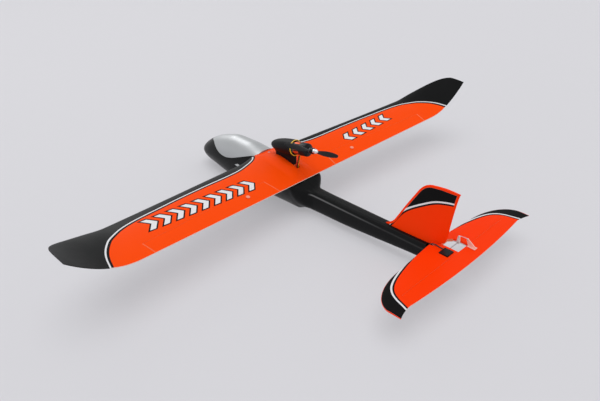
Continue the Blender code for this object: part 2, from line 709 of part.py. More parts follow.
def make_fin():
    """Sections from the foot up: height, leading edge, trailing edge."""
    rows = ((FIN_FOOT, 0.1880, 0.3110), (0.0650, 0.2010, 0.3110), (0.0700, 0.2060, 0.3180),
            (0.0810, 0.2125, 0.3220), (0.1070, 0.2265, 0.3245), (0.1400, 0.2455, 0.3285),
            (0.1600, 0.2580, 0.3315), (0.1680, 0.2665, 0.3330), (0.1735, 0.2790, 0.3345),
            (0.1760, 0.3000, 0.3355))
    spots = [0.5 * (1 + math.cos(math.pi * i / 8)) for i in range(9)]
    sections = []
    for height, front, back in rows:
        thick = FIN_THICKNESS * (1 - 0.35 * blend(height, 0.07, 0.176))
        ring = []
        for side, order in ((1, spots[:-1]), (-1, spots[::-1])):
            for s in order:
                half = thick / 2 * thickness_law(s) + 0.0006 * s
                ring.append((side * half, front + (back - front) * s, height))
        sections.append(ring)
    fin = loft("fin", sections, orange_foam())
    seat = [(y, z + GAP) for x, y, z in tail_section(0.0)[:8]]
    seat += [(TAIL_LE - GAP, TAIL_PLANE), (TAIL_LE - GAP, 0.040), (TAIL_TE, 0.040)]
    return cut(fin, plate("cut_fin_seat", seat, -0.01, 0.01, "X", collection=cutters))


def make_elevator_drive():
    shaft_y, shaft_z = CROSS_SHAFT
    body = box("elevator_servo", (TAIL_SERVO_X[0], TAIL_SERVO_Y[0], shaft_z - SERVO_THICKNESS / 2),
               (TAIL_SERVO_X[1], TAIL_SERVO_Y[1], shaft_z + SERVO_THICKNESS / 2),
               black_plastic(), bevel=0.0006)
    boss = cylinder("add_tail_boss", (TAIL_SERVO_X[0] - 0.0010, shaft_y, shaft_z),
                    (TAIL_SERVO_X[0] + 0.002, shaft_y, shaft_z), 0.0028, collection=cutters)
    cut(body, boss, join="UNION")

    axis = empty("cross_shaft_axis", Matrix.Translation((0, shaft_y, shaft_z)))
    cylinder("elevator_cross_shaft", (CROSS_SHAFT_END, 0, 0),
             (TAIL_SERVO_X[0] - 0.0010 - GAP, 0, 0), CROSS_SHAFT_RADIUS, steel(), parent=axis,
             sides=12)
    half = ARM_THICKNESS / 2
    arm_x = (TAIL_ARM_X - half, TAIL_ARM_X + half)
    arm = plate("elevator_arm", arm_outline(TAIL_ARM_RADIUS, 1), arm_x[0], arm_x[1], "X",
                white_plastic(), parent=axis)
    bore = cylinder("cut_arm_bore", (-0.05, 0, 0), (0.0, 0, 0), CROSS_SHAFT_RADIUS + GAP,
                    collection=cutters, parent=axis, sides=12)
    hole = cylinder("cut_tail_arm_hole", (-0.05, 0, TAIL_ARM_RADIUS), (0.0, 0, TAIL_ARM_RADIUS),
                    ROD_HOLE, collection=cutters, parent=axis, sides=12)
    cut(arm, bore, hole)

    hinge_y, hinge_z = elevator_axis()
    frame = empty("elevator_axis", Matrix.Translation((0, hinge_y, hinge_z)))
    near, far = 0.0020, 0.0180
    low_near = tail_top(hinge_y + near) - hinge_z + 2 * GAP
    low_far = tail_top(hinge_y + far) - hinge_z + 2 * GAP
    outline = [(near, low_near), (far, low_far), (far, low_far + 0.0014), (0.0060, 0.0105),
               *disc((0.0, TAIL_ARM_RADIUS), 0.0022, 7, math.radians(40), math.radians(200)),
               (0.0010, 0.0040)]
    horn = plate("elevator_horn", outline, arm_x[0], arm_x[1], "X", white_plastic(), parent=frame)
    foot = plate("add_elevator_horn_foot", ((near, low_near), (far, low_far),
                                            (far, low_far + 0.0010), (near, low_near + 0.0010)),
                 TAIL_ARM_X - 0.0045, TAIL_ARM_X + 0.0045, "X", collection=cutters, parent=frame)
    cut(horn, foot, join="UNION")
    hole = cylinder("cut_elevator_horn_hole", (-0.05, 0, TAIL_ARM_RADIUS),
                    (0.0, 0, TAIL_ARM_RADIUS), ROD_HOLE, collection=cutters, parent=frame, sides=12)
    cut(horn, hole)
    ends = ((shaft_y, shaft_z + TAIL_ARM_RADIUS), (hinge_y, hinge_z + TAIL_ARM_RADIUS))
    rod_link("elevator_pushrod", TAIL_ARM_X, ends, -1, None)


# ---------------------------------------------------------------- motor and propeller

def thrust_frame():
    """Local Z runs rearward along the thrust line; Z = 0 is the propeller."""
    tilt = Matrix.Rotation(-(math.pi / 2 - THRUST_TILT), 4, "X")
    return Matrix.Translation(HUB) @ tilt


def nacelle_outline(grow=0.0):
    """Outer profile from the rim forward to the nose, as (radius, height)."""
    length = NACELLE_NOSE - NACELLE_RIM
    points = []
    for i in range(11):
        t = i / 10
        radius = NACELLE_RADIUS * math.sqrt(max(0.0, 1 - t ** 2.3)) * (1 - 0.04 * (1 - t) ** 2)
        points.append((radius + grow if i < 10 else 0.0, -(NACELLE_RIM + length * t) - grow * t))
    return points


def make_nacelle(frame):
    outer = nacelle_outline()
    inner_radius = NACELLE_RADIUS - 0.0022
    firewall = -0.0560
    profile = [(0.0, firewall), (inner_radius - 0.002, firewall),
               (inner_radius, firewall + 0.002), (inner_radius, -NACELLE_RIM)] + outer
    shell = turned("motor_nacelle", profile, black_plastic(), frame)
    ring = [(NACELLE_RADIUS - 0.0004, -NACELLE_RIM + 0.0018),
            (NACELLE_RADIUS - 0.0004, -NACELLE_RIM + GAP),
            (inner_radius + 0.0002, -NACELLE_RIM + GAP),
            (inner_radius + 0.0002, -NACELLE_RIM + 0.0018)]
    turned("nacelle_ring", ring, material("yellow_plastic", (0.75, 0.52, 0.04), 0.4), frame)
    return shell


def make_motor(frame):
    fixed = MOTOR_RADIUS
    front, split, back = -0.0557, -0.0300, -0.0090
    base = [(0.0, split - GAP), (fixed - 0.002, split - GAP), (fixed, split - 0.0025),
            (fixed, -0.0440), (fixed - 0.003, -0.0460), (fixed - 0.003, front), (0.0, front)]
    body = turned("motor_base", base, aluminium(), frame, 24)
    bore = turned("cut_motor_bore", [(0.0, split + 0.01), (0.0019, split + 0.01),
                                     (0.0019, -0.0500), (0.0, -0.0500)], None, frame, 12, cutters)
    cut(body, bore)
    bell = [(0.0, back), (0.0045, back), (0.0090, back - 0.0010), (fixed - 0.001, back - 0.0030),
            (fixed, back - 0.0045), (fixed, split + 0.0010), (fixed - 0.001, split), (0.0, split)]
    rotor = turned("motor_bell", bell, black_plastic(), frame, 24)
    shaft_clear = turned("cut_bell_bore", [(0.0, 0.0), (0.0018, 0.0), (0.0018, -0.05),
                                           (0.0, -0.05)], None, frame, 12, cutters)
    cut(rotor, shaft_clear)
    turned("motor_shaft", [(0.0, -0.0055), (0.0015, -0.0055), (0.0015, -0.0490), (0.0, -0.0490)],
           steel(), frame, 12)


def make_prop_hardware(frame):
    collet = [(0.0, 0.0105), (0.0022, 0.0105), (0.0022, -0.0035), (0.0055, -0.0038),
              (0.0060, -0.0042), (0.0052, back_of_bell()), (0.0, back_of_bell())]
    body = turned("prop_collet", collet, aluminium(), frame, 16)
    bore = turned("cut_collet_bore", [(0.0, -0.0050), (0.0018, -0.0050), (0.0018, -0.02),
                                      (0.0, -0.02)], None, frame, 12, cutters)
    cut(body, bore)
    nut = [(0.0, 0.0145), (0.0022, 0.0142), (0.0046, 0.0105), (0.0052, 0.0080),
           (0.0052, 0.0041), (0.0, 0.0041)]
    cap = turned("prop_nut", nut, aluminium(), frame, 16)
    thread = turned("cut_nut_thread", [(0.0, 0.0110), (0.0025, 0.0110), (0.0025, 0.0),
                                       (0.0, 0.0)], None, frame, 12, cutters)
    cut(cap, thread)


def back_of_bell():
    return -0.0090 + GAP


def make_propeller(frame):
    """Two twisted blades lofted from tip to tip, joined to a drilled hub."""
    rows = [(1.0, 0.0045), (0.97, 0.0068), (0.88, 0.0095), (0.70, 0.0122), (0.50, 0.0126),
            (0.30, 0.0106), (0.14, 0.0080), (0.05, 0.0066)]
    sections = []
    for way in (1, -1):
        order = rows if way > 0 else rows[::-1]
        for share, chord in order:
            reach = PROP_RADIUS * share
            twist = math.atan(0.022 / max(reach, 0.012))
            sections.append(blade_section(way * reach, chord, way * twist))
    blades = loft("propeller", sections, black_plastic(), parent=frame)
    blades.rotation_euler = (0, 0, PROP_BLADE_ANGLE)
    hub = cylinder("add_prop_hub", (0, 0, -0.0035), (0, 0, 0.0035), 0.0065, collection=cutters,
                   parent=frame, sides=20)
    bore = cylinder("cut_prop_bore", (0, 0, -0.01), (0, 0, 0.01), 0.0026, collection=cutters,
                    parent=frame, sides=12)
    cut(blades, hub, join="UNION")
    cut(blades, bore)
    return blades


def blade_section(x, chord, twist):
    points = []
    for i in range(8):
        angle = math.tau * i / 8
        u, v = chord / 2 * math.cos(angle), 0.0011 * math.sin(angle) * (1 if chord > 0.005 else 0.7)
        points.append((x, u * math.cos(twist) - v * math.sin(twist),
                       u * math.sin(twist) + v * math.cos(twist)))
    return points


def make_pylon(frame):
    front, back = PYLON_Y
    half = PYLON_HALF_WIDTH
    outline = ((front, PYLON_FOOT), (back, PYLON_FOOT), (back, 0.1150),
               (back - 0.006, 0.1270), (front - 0.001, 0.1240), (front - 0.006, 0.1160),
               (front - 0.0035, 0.1115), (front, 0.1085))
    pylon = plate("motor_pylon", outline, -half, half, "X", black_plastic())
    seat = turned("cut_nacelle_seat", [(0.0, -NACELLE_RIM + 0.03)]
                  + [(NACELLE_RADIUS + GAP, -NACELLE_RIM + 0.03)] + nacelle_outline(GAP),
                  None, frame, 32, cutters)
    spar = bpy.data.objects["cut_spar"]
    return cut(pylon, seat, spar)


def make_motor_wires():
    colors = (("black", (0.01, 0.01, 0.01), 0.0), ("yellow", (0.7, 0.45, 0.02), -0.0024),
              ("red", (0.5, 0.01, 0.01), 0.0024))
    for word, color, x in colors:
        start = Vector((x, -0.0455, 0.1178 + 9.0 * x * x))
        route = [start, (x, -0.0460, 0.1120), (x, -0.0485, 0.1040), (x, -0.0510, 0.0930),
                 (x, -0.0522, 0.0780), (x, -0.0560, 0.0600), (x * 1.5, -0.0720, 0.0400),
                 (x * 1.6, -0.0950, 0.0260), (x * 1.6, -0.1150, 0.0185),
                 (x * 1.6, -0.1290 + 3 * GAP, 0.0172)]
        wire("motor_wire_" + word, smooth_path(route, 0.006), 0.0009,
             material("wire_" + word, color, 0.5))


# ---------------------------------------------------------------- equipment bay

def make_equipment():
    floor = BAY_FLOOR + GAP
    tray_top = floor + 0.0015
    box("equipment_tray", (-0.0130, -0.2780, floor), (0.0130, -0.1280, tray_top),
        material("plywood", (0.45, 0.30, 0.16), 0.7))
    low = tray_top + GAP
    box("battery", (-0.0170, -0.2850, low + 0.0020), (0.0170, -0.2150, low + 0.0200),
        material("battery_wrap", (0.05, 0.10, 0.30), 0.35), bevel=0.0015)
    box("battery_pad", (-0.0130, -0.2780, low), (0.0130, -0.2220, low + 0.0020 - GAP),
        material("hook_and_loop", (0.02, 0.02, 0.02), 0.9))
    box("speed_controller", (-0.0120, -0.1760, low), (0.0120, -0.1290, low + 0.0080),
        material("shrink_wrap", (0.02, 0.05, 0.18), 0.3), bevel=0.0010)
    box("receiver", (0.0070, -0.1080, 0.0180), (0.0190, -0.0720, 0.0390), black_plastic(),
        bevel=0.0010)
    plug_low, plug_high = -0.2030, -0.1870
    box("battery_plug", (-0.0080, plug_low, low + 0.0060), (0.0080, plug_high, low + 0.0135),
        material("yellow_plastic", (0.75, 0.52, 0.04), 0.4), bevel=0.0006)
    high, low_end = low + 0.0098, low + 0.0045
    wire("battery_lead", [(0, plug_low - GAP, high), (0, -0.2150 + GAP, high)], 0.0022,
         material("wire_red", (0.5, 0.01, 0.01), 0.5))
    route = [(0, plug_high + GAP, high), (0, plug_high + 0.0020, high)]
    route += smooth_path([(0, plug_high + 0.0030, high - 0.0002), (0, -0.1815, low + 0.0072),
                          (0, -0.1790, low_end + 0.0002)], 0.002)
    route += [(0, -0.1780, low_end), (0, -0.1760 - GAP, low_end)]
    wire("controller_lead", route, 0.0022, material("wire_black", (0.01, 0.01, 0.01), 0.5))


def make_tail_lead():
    """The elevator servo's lead: over the tailplane beside the fin, down its slot,
    and forward inside the boom to the receiver."""
    route = [(0.0100, 0.3225 - GAP, 0.0642), (0.0095, 0.3150, 0.0643), (0.0078, 0.3045, 0.0646),
             (0.0074, 0.2985, 0.0634), (0.0068, 0.2935, 0.0590), (0.0062, 0.2900, 0.0520),
             (0.0030, 0.2780, 0.0440),
             (0.0, 0.2400, 0.0400), (0.0, 0.1600, 0.0380), (0.0, 0.0800, 0.0360),
             (0.0, 0.0000, 0.0360), (0.0050, -0.0300, 0.0340), (0.0120, -0.0550, 0.0300),
             (0.0150, -0.0720 + GAP, 0.0285)]
    wire("elevator_servo_lead", smooth_path(route, 0.009), 0.0011,
         material("wire_black", (0.01, 0.01, 0.01), 0.5))


def main():
    start_scene()
    make_shared_cutters()
    for side, word in ((1, "left"), (-1, "right")):
        make_fuselage_half(side, word)
        make_wing(side, word)
        make_aileron(side, word)
        make_aileron_linkage(side, word)
    make_hatch()
    make_wing_fasteners()
    make_stabiliser()
    make_elevator()
    make_fin()
    make_elevator_drive()
    frame = empty("thrust_line", thrust_frame())
    make_nacelle(frame)
    make_motor(frame)
    make_prop_hardware(frame)
    make_propeller(frame)
    make_pylon(frame)
    make_motor_wires()
    make_equipment()
    make_tail_lead()


main()
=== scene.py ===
"""Looks for the RC motor glider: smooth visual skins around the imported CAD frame.

Metres, in the frame of the CAD model. +Z is up, the nose points to -Y and the left
wing is on +X. Each skin stands for a CAD node and rides on that node's body."""

import math

import bmesh
import bpy
import numpy as np
from mathutils import Matrix, Vector


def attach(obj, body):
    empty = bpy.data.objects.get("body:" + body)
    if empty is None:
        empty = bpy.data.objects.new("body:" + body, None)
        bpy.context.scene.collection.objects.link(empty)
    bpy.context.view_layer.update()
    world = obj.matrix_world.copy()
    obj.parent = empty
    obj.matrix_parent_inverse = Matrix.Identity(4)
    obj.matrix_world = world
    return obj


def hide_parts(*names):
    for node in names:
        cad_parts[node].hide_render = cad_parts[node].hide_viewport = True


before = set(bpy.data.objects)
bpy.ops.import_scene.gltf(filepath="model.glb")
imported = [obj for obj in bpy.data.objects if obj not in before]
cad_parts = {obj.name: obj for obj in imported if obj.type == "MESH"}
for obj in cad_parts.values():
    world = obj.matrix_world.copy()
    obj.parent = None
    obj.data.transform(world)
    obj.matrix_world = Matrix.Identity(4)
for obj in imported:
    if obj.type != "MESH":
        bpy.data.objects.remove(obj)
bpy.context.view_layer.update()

GAP = 0.0003

# Wing
HALF_SPAN = 0.550
WING_LE, WING_LE_SWEEP = -0.1552, 0.1065
WING_TE, WING_TE_SWEEP = -0.0218, 0.0643
WING_TE_HEIGHT = 0.073
DIHEDRAL = 0.050
TIP_START, TIP_ROUND = 0.44, 0.074
UPSWEEP_START, UPSWEEP = 0.42, 3.2
EDGE_THICKNESS = 0.0014
HINGE_IN, HINGE_OUT = (0.0930, -0.0560), (0.4005, -0.0250)
AILERON_TE_IN, AILERON_TE_OUT = (0.0830, -0.0100), (0.3925, 0.0100)
HINGE_GAP, HINGE_DEPTH = 0.00015, 0.0006
HINGE_BEVEL = math.radians(28.0)
LINK_X = 0.159
SERVO_PIVOT = (-0.052, -0.001)
SERVO_HEIGHT, SERVO_THICKNESS = 0.020, 0.010

# Tail
TAIL_HALF_SPAN, TAIL_PLANE = 0.209, 0.060
TAIL_LE, TAIL_TE, TAIL_BOW = 0.2925, 0.3690, 0.0085
TAIL_THICKNESS = 0.0056
ELEVATOR_HINGE, ELEVATOR_HALF_SPAN = 0.3455, 0.165
FIN_FOOT, FIN_THICKNESS = 0.0568, 0.0060
TAIL_SERVO_X, TAIL_SERVO_Y = (0.0045, 0.0245), (0.3225, 0.3405)
CROSS_SHAFT, CROSS_SHAFT_RADIUS, CROSS_SHAFT_END = (0.3275, 0.0605), 0.0010, -0.0400

# Motor, nacelle and propeller, about a thrust line whose local Z runs rearward
HUB, THRUST_TILT = (0.0, -0.0075, 0.1425), math.radians(10.4)
PROP_RADIUS, PROP_BLADE_ANGLE = 0.082, math.radians(-27.0)
NACELLE_RIM, NACELLE_NOSE, NACELLE_RADIUS = 0.050, 0.123, 0.0178
MOTOR_RADIUS = 0.0140
PYLON_Y, PYLON_HALF_WIDTH, PYLON_FOOT = (-0.112, -0.058), 0.0045, 0.0795
WIRE_HOLE_Y, WIRE_HOLE_HALF_WIDTH = (-0.0565, -0.0470), 0.0050
SCREW_Y, SPAR_Y, SPAR_Z = -0.1385, -0.118, 0.0865
SPAR_RADIUS, SPAR_HALF_LENGTH = 0.0030, 0.080

# Fuselage: y, half width, height of the widest point, top, bottom, and how square
# the upper and lower halves are (2 is an ellipse).
FUSELAGE = (
    (-0.3685, 0.0030, 0.0320, 0.0350, 0.0291, 2.0, 2.0),
    (-0.3660, 0.0100, 0.0330, 0.0426, 0.0228, 2.0, 1.9),
    (-0.3572, 0.0173, 0.0351, 0.0521, 0.0156, 2.0, 1.8),
    (-0.3404, 0.0245, 0.0371, 0.0656, 0.0090, 2.0, 1.6),
    (-0.3166, 0.0299, 0.0411, 0.0801, 0.0050, 2.0, 1.6),
    (-0.2833, 0.0340, 0.0451, 0.0930, 0.0000, 2.0, 1.8),
    (-0.2404, 0.0368, 0.0500, 0.1025, -0.0040, 2.0, 2.1),
    (-0.1976, 0.0378, 0.0550, 0.1025, -0.0040, 2.0, 2.3),
    (-0.1580, 0.0380, 0.060, 0.0970, -0.0040, 2.2, 2.2),
    (-0.1330, 0.0400, 0.062, 0.0940, -0.0040, 3.0, 1.9),
    (-0.0930, 0.0440, 0.065, 0.0920, -0.0054, 5.0, 1.6),
    (-0.0530, 0.0450, 0.066, 0.0880, -0.0058, 5.0, 1.5),
    (-0.0380, 0.0446, 0.066, 0.0840, -0.0056, 5.0, 1.5),
    (-0.0250, 0.0440, 0.060, 0.0722, 0.0020, 5.0, 1.5),
    (-0.0130, 0.0340, 0.057, 0.0650, 0.0060, 4.0, 1.8),
    (-0.0030, 0.0200, 0.052, 0.0585, 0.0080, 4.0, 2.6),
    (0.0070, 0.0155, 0.045, 0.0565, 0.0085, 4.5, 3.4),
    (0.0870, 0.0145, 0.042, 0.0560, 0.0100, 4.5, 3.4),
    (0.1670, 0.0135, 0.042, 0.0560, 0.0145, 4.5, 3.4),
    (0.2470, 0.0125, 0.042, 0.0565, 0.0200, 4.5, 3.4),
    (0.2920, 0.0120, 0.042, 0.0565, 0.0225, 4.5, 3.4),
    (0.3065, 0.0100, 0.042, 0.0560, 0.0260, 3.5, 3.0),
)
BAY_FLOOR = 0.0110
BAY = (
    (-0.3480, 0.0120, 0.0370, 0.0540, 0.0190, 2.0, 1.9),
    (-0.3340, 0.0190, 0.0385, 0.0630, 0.0140, 2.0, 1.7),
    (-0.3050, 0.0255, 0.0420, 0.0790, 0.0060, 2.0, 1.9),
    (-0.2700, 0.0295, 0.0465, 0.0905, 0.0020, 2.0, 2.1),
    (-0.2350, 0.0315, 0.0505, 0.0968, -0.0010, 2.0, 2.3),
    (-0.2000, 0.0320, 0.054, 0.0960, -0.0010, 2.0, 2.4),
    (-0.1700, 0.0320, 0.056, 0.0900, -0.0010, 2.0, 2.4),
    (-0.1500, 0.0315, 0.054, 0.0700, -0.0010, 2.4, 2.2),
    (-0.1000, 0.0300, 0.050, 0.0640, 0.0030, 2.6, 2.0),
    (-0.0500, 0.0290, 0.048, 0.0620, 0.0050, 2.6, 2.0),
    (-0.0300, 0.0250, 0.047, 0.0580, 0.0080, 2.4, 2.0),
    (-0.0120, 0.0140, 0.045, 0.0530, 0.0140, 2.6, 2.2),
    (0.0050, 0.0105, 0.043, 0.0505, 0.0150, 3.0, 3.0),
    (0.0870, 0.0095, 0.042, 0.0505, 0.0165, 3.0, 3.0),
    (0.1670, 0.0085, 0.042, 0.0500, 0.0205, 3.0, 3.0),
    (0.2470, 0.0080, 0.042, 0.0510, 0.0260, 3.0, 3.0),
    (0.2900, 0.0080, 0.042, 0.0510, 0.0290, 3.0, 3.0),
)
HATCH_LINE = ((-0.3450, 0.0722), (-0.3290, 0.0726), (-0.3116, 0.0732), (-0.3033, 0.0705),
              (-0.2933, 0.0660), (-0.2850, 0.0620), (-0.2747, 0.0588), (-0.2661, 0.0576),
              (-0.2560, 0.0573), (-0.2450, 0.0585), (-0.2254, 0.0642), (-0.1997, 0.0743),
              (-0.1818, 0.0812), (-0.1675, 0.0862))
HATCH_REAR, HATCH_TOP, HATCH_GAP = -0.1525, 0.130, 0.0004

# Middle of the white pinstripe on a wing (distance from the centre, y), from the
# trailing edge round to the leading edge.
WING_STRIPE = ((0.4830, 0.0160), (0.4795, 0.0040), (0.4740, -0.0150), (0.4655, -0.0330),
               (0.4530, -0.0505), (0.4380, -0.0655), (0.4080, -0.0815), (0.3690, -0.0912),
               (0.3140, -0.0985), (0.2720, -0.1040), (0.2100, -0.1098), (0.1720, -0.1122),
               (0.1350, -0.1150), (0.1050, -0.1195), (0.0770, -0.1290), (0.0560, -0.1380),
               (0.0430, -0.1480), (0.0330, -0.1640), (0.0270, -0.1900))
# The same on a tailplane tip, and on the fin as (y, z).
TAIL_STRIPE = ((0.1950, 0.4000), (0.1870, 0.3740), (0.1825, 0.3600), (0.1775, 0.3435),
               (0.1690, 0.3290), (0.1540, 0.3175), (0.1300, 0.3085), (0.1000, 0.3010),
               (0.0700, 0.2950), (0.0300, 0.2860))
FIN_STRIPE = ((0.2000, 0.0600), (0.2210, 0.0930), (0.2360, 0.1090), (0.2600, 0.1265),
              (0.2870, 0.1430), (0.3090, 0.1505), (0.3280, 0.1540), (0.3500, 0.1560))

# Fin: height, leading edge and trailing edge. The window beside it is (x, y).
FIN_ROWS = ((FIN_FOOT, 0.1880, 0.3110), (0.0650, 0.2010, 0.3110), (0.0700, 0.2060, 0.3180),
            (0.0810, 0.2125, 0.3220), (0.1070, 0.2265, 0.3245), (0.1400, 0.2455, 0.3285),
            (0.1600, 0.2580, 0.3315), (0.1680, 0.2665, 0.3330), (0.1735, 0.2790, 0.3345),
            (0.1760, 0.3000, 0.3355))
WINDOW = ((-0.0032, 0.3100), (-0.0250, 0.3100), (-0.0325, 0.3165), (-0.0365, 0.3260),
          (-0.0355, 0.3500), (-0.0032, 0.3500))
# Propeller blade: share of the radius and chord.
BLADE_ROWS = ((0.03, 0.0064), (0.05, 0.0066), (0.14, 0.0080), (0.30, 0.0106), (0.50, 0.0126),
              (0.70, 0.0122), (0.88, 0.0095), (0.97, 0.0068), (0.99, 0.0054), (1.0, 0.0036))

ORANGE = (1.0, 0.070, 0.0008)
TAIL_ORANGE = (1.0, 0.042, 0.0006)
FOAM_BLACK = (0.0058, 0.0061, 0.0064)
WHITE = (0.78, 0.78, 0.80)
BARE_FOAM = (0.72, 0.71, 0.69)
LINE_BLACK = (0.010, 0.008, 0.008)
# colour of the painted highlight lines along the aileron ends
SEAM_HIGHLIGHT = (0.90, 0.36, 0.20)

# Wing paint, measured across the stripe: the white's half width and the far edge of
# the dark line beside it. The left wing's stripe lies a little further back.
STRIPE_HALF, STRIPE_LINE, LEFT_STRIPE_SHIFT = 0.0014, 0.0050, 0.0016
UNDERSIDE_EDGE = -0.0018
# half width of the painted highlight lines along the aileron ends
SEAM_HALF_WIDTH = 0.0010
BLACK_WING_FROM, BLACK_TAIL_FROM = 0.478, 0.186
# A row of chevrons: middle, half length, half height, pitch, bar width, way they point.
CHEVRON_SLANT, CHEVRON_RIM = 0.85, 0.0028
LEFT_CHEVRONS = ((0.2355, -0.0625), 0.1296, 0.0155, 0.0288, 0.0122, -1)
RIGHT_CHEVRONS = ((-0.2450, -0.0665), 0.0825, 0.0130, 0.0330, 0.0132, 1)
# The painted highlight line along the boom: height at y = 0, fall with y, half width, inner x.
SHEEN_HEIGHT, SHEEN_FALL, SHEEN_HALF_WIDTH, SHEEN_FROM_X = 0.0500, -0.0165, 0.0026, 0.008

FLOOR_GLOW = 0.315           # the photo's floor is lit like a light table
CAMERA_PLACE, CAMERA_LENS = (0.8217, 0.7604, 0.6846), 36.42
CAMERA_DOWN, CAMERA_TURN = math.radians(30.41), math.radians(134.36)


# ---------------------------------------------------------------- curves

def blend(x, x0, x1):
    t = min(max((x - x0) / (x1 - x0), 0.0), 1.0)
    return t * t * (3 - 2 * t)


def smooth_path(points, step):
    """Points about a step apart on a smooth curve through the given ones."""
    points = [Vector(p) for p in points]
    ends = [2 * points[0] - points[1]] + points + [2 * points[-1] - points[-2]]
    path = []
    for p0, p1, p2, p3 in zip(ends, ends[1:], ends[2:], ends[3:]):
        count = max(1, round((p2 - p1).length / step))
        for i in range(count):
            t = i / count
            path.append(0.5 * (2 * p1 + (p2 - p0) * t + (2 * p0 - 5 * p1 + 4 * p2 - p3) * t * t
                               + (3 * p1 - p0 - 3 * p2 + p3) * t ** 3))
    return path + [points[-1]]


def flat_curve(points):
    """A smooth curve in the plane through the given points, as an array."""
    path = smooth_path([(a, b, 0.0) for a, b in points], 0.003)
    return np.array([tuple(p) for p in path])[:, :2]


def refine(rows, step):
    """Rows of numbers, the first one rising, with more rows on a monotone cubic
    through them, so nothing swings past a given value."""
    table = np.array(rows, float)
    x, y = table[:, 0], table[:, 1:]
    h = np.diff(x)[:, None]
    slope = np.diff(y, axis=0) / h
    tangent = np.zeros_like(y)
    left, right = slope[:-1], slope[1:]
    w1, w2 = 2 * h[1:] + h[:-1], h[1:] + 2 * h[:-1]
    same = left * right > 0
    safe_left, safe_right = np.where(same, left, 1.0), np.where(same, right, 1.0)
    tangent[1:-1] = np.where(same, (w1 + w2) / (w1 / safe_left + w2 / safe_right), 0.0)
    tangent[0], tangent[-1] = slope[0], slope[-1]
    result = []
    for i in range(len(x) - 1):
        count = max(1, math.ceil(h[i, 0] / step))
        for k in range(count):
            t = k / count
            value = ((1 + 2 * t) * (1 - t) ** 2 * y[i] + t * (1 - t) ** 2 * h[i] * tangent[i]
                     + t * t * (3 - 2 * t) * y[i + 1] + t * t * (t - 1) * h[i] * tangent[i + 1])
            result.append((x[i] + t * h[i, 0], *value))
    return result + [tuple(table[-1])]


def spread(*knots):
    """Evenly spaced numbers between knots given as value, count, value, count, value."""
    values = []
    for start, count, end in zip(knots[:-2:2], knots[1::2], knots[2::2]):
        values += [start + (end - start) * i / count for i in range(count)]
    return values + [knots[-1]]


def signed_distance(points, curve):
    """Distance of each point to a curve in the plane; positive on its right."""
    points, curve = np.asarray(points, float), np.asarray(curve, float)
    start, along = curve[:-1], np.diff(curve, axis=0)
    best = np.full(len(points), 1e9)
    sign = np.ones(len(points))
    for a, d in zip(start, along):
        offset = points - a
        t = np.clip(offset @ d / (d @ d), 0.0, 1.0)
        away = offset - t[:, None] * d
        gap = np.hypot(away[:, 0], away[:, 1])
        closer = gap < best
        best[closer] = gap[closer]
        cross = d[0] * offset[:, 1] - d[1] * offset[:, 0]
        sign[closer] = np.where(cross < 0, 1.0, -1.0)[closer]
    return best * sign


# ---------------------------------------------------------------- mesh helpers

tools = []


def from_bmesh(name, bm):
    bmesh.ops.recalc_face_normals(bm, faces=bm.faces)
    mesh = bpy.data.meshes.new(name)
    bm.to_mesh(mesh)
    bm.free()
    obj = bpy.data.objects.new(name, mesh)
    bpy.context.scene.collection.objects.link(obj)
    return obj


def tool(obj):
    tools.append(obj)
    return obj


def box(name, low, high):
    bm = bmesh.new()
    bmesh.ops.create_cube(bm, size=1.0)
    for vert in bm.verts:
        vert.co = Vector([low[i] if vert.co[i] < 0 else high[i] for i in range(3)])
    return from_bmesh(name, bm)


def cylinder(name, start, end, radius, sides=32):
    start, end = Vector(start), Vector(end)
    bm = bmesh.new()
    bmesh.ops.create_cone(bm, cap_ends=True, segments=sides, radius1=radius,
                          radius2=radius, depth=(end - start).length)
    turn = (end - start).to_track_quat("Z", "Y").to_matrix().to_4x4()
    bmesh.ops.transform(bm, matrix=Matrix.Translation((start + end) / 2) @ turn, verts=bm.verts)
    return from_bmesh(name, bm)


def loft(name, sections):
    """Skin through closed sections of equal point count, with both ends capped."""
    bm = bmesh.new()
    rings = [[bm.verts.new(point) for point in section] for section in sections]
    for ring, following in zip(rings, rings[1:]):
        for i in range(len(ring)):
            j = (i + 1) % len(ring)
            bm.faces.new((ring[i], ring[j], following[j], following[i]))
    bm.faces.new(rings[0])
    bm.faces.new(rings[-1])
    bmesh.ops.triangulate(bm, faces=bm.faces)
    return from_bmesh(name, bm)


def plate(name, outline, low, high, axis):
    """An outline extruded between two places along an axis. Seen along X the outline
    is (y, z), along Z it is (x, y)."""
    order = {"X": lambda a, b, c: (c, a, b), "Z": lambda a, b, c: (a, b, c)}[axis]
    return loft(name, [[order(a, b, place) for a, b in outline] for place in (low, high)])


def turned(name, profile, matrix, steps=96):
    """A closed outline of (radius, height) turned about the local Z axis."""
    on_axis = profile[0][0] == 0.0
    bm = bmesh.new()
    rings = []
    for radius, height in profile:
        if radius == 0.0:
            rings.append([bm.verts.new((0, 0, height))] * steps)
        else:
            rings.append([bm.verts.new((radius * math.cos(math.tau * i / steps),
                                        radius * math.sin(math.tau * i / steps), height))
                          for i in range(steps)])
    pairs = list(zip(rings, rings[1:])) + ([] if on_axis else [(rings[-1], rings[0])])
    for ring, following in pairs:
        for i in range(steps):
            j = (i + 1) % steps
            corners = []
            for vert in (ring[i], ring[j], following[j], following[i]):
                if vert not in corners:
                    corners.append(vert)
            if len(corners) > 2:
                bm.faces.new(corners)
    bmesh.ops.transform(bm, matrix=matrix, verts=bm.verts)
    return from_bmesh(name, bm)


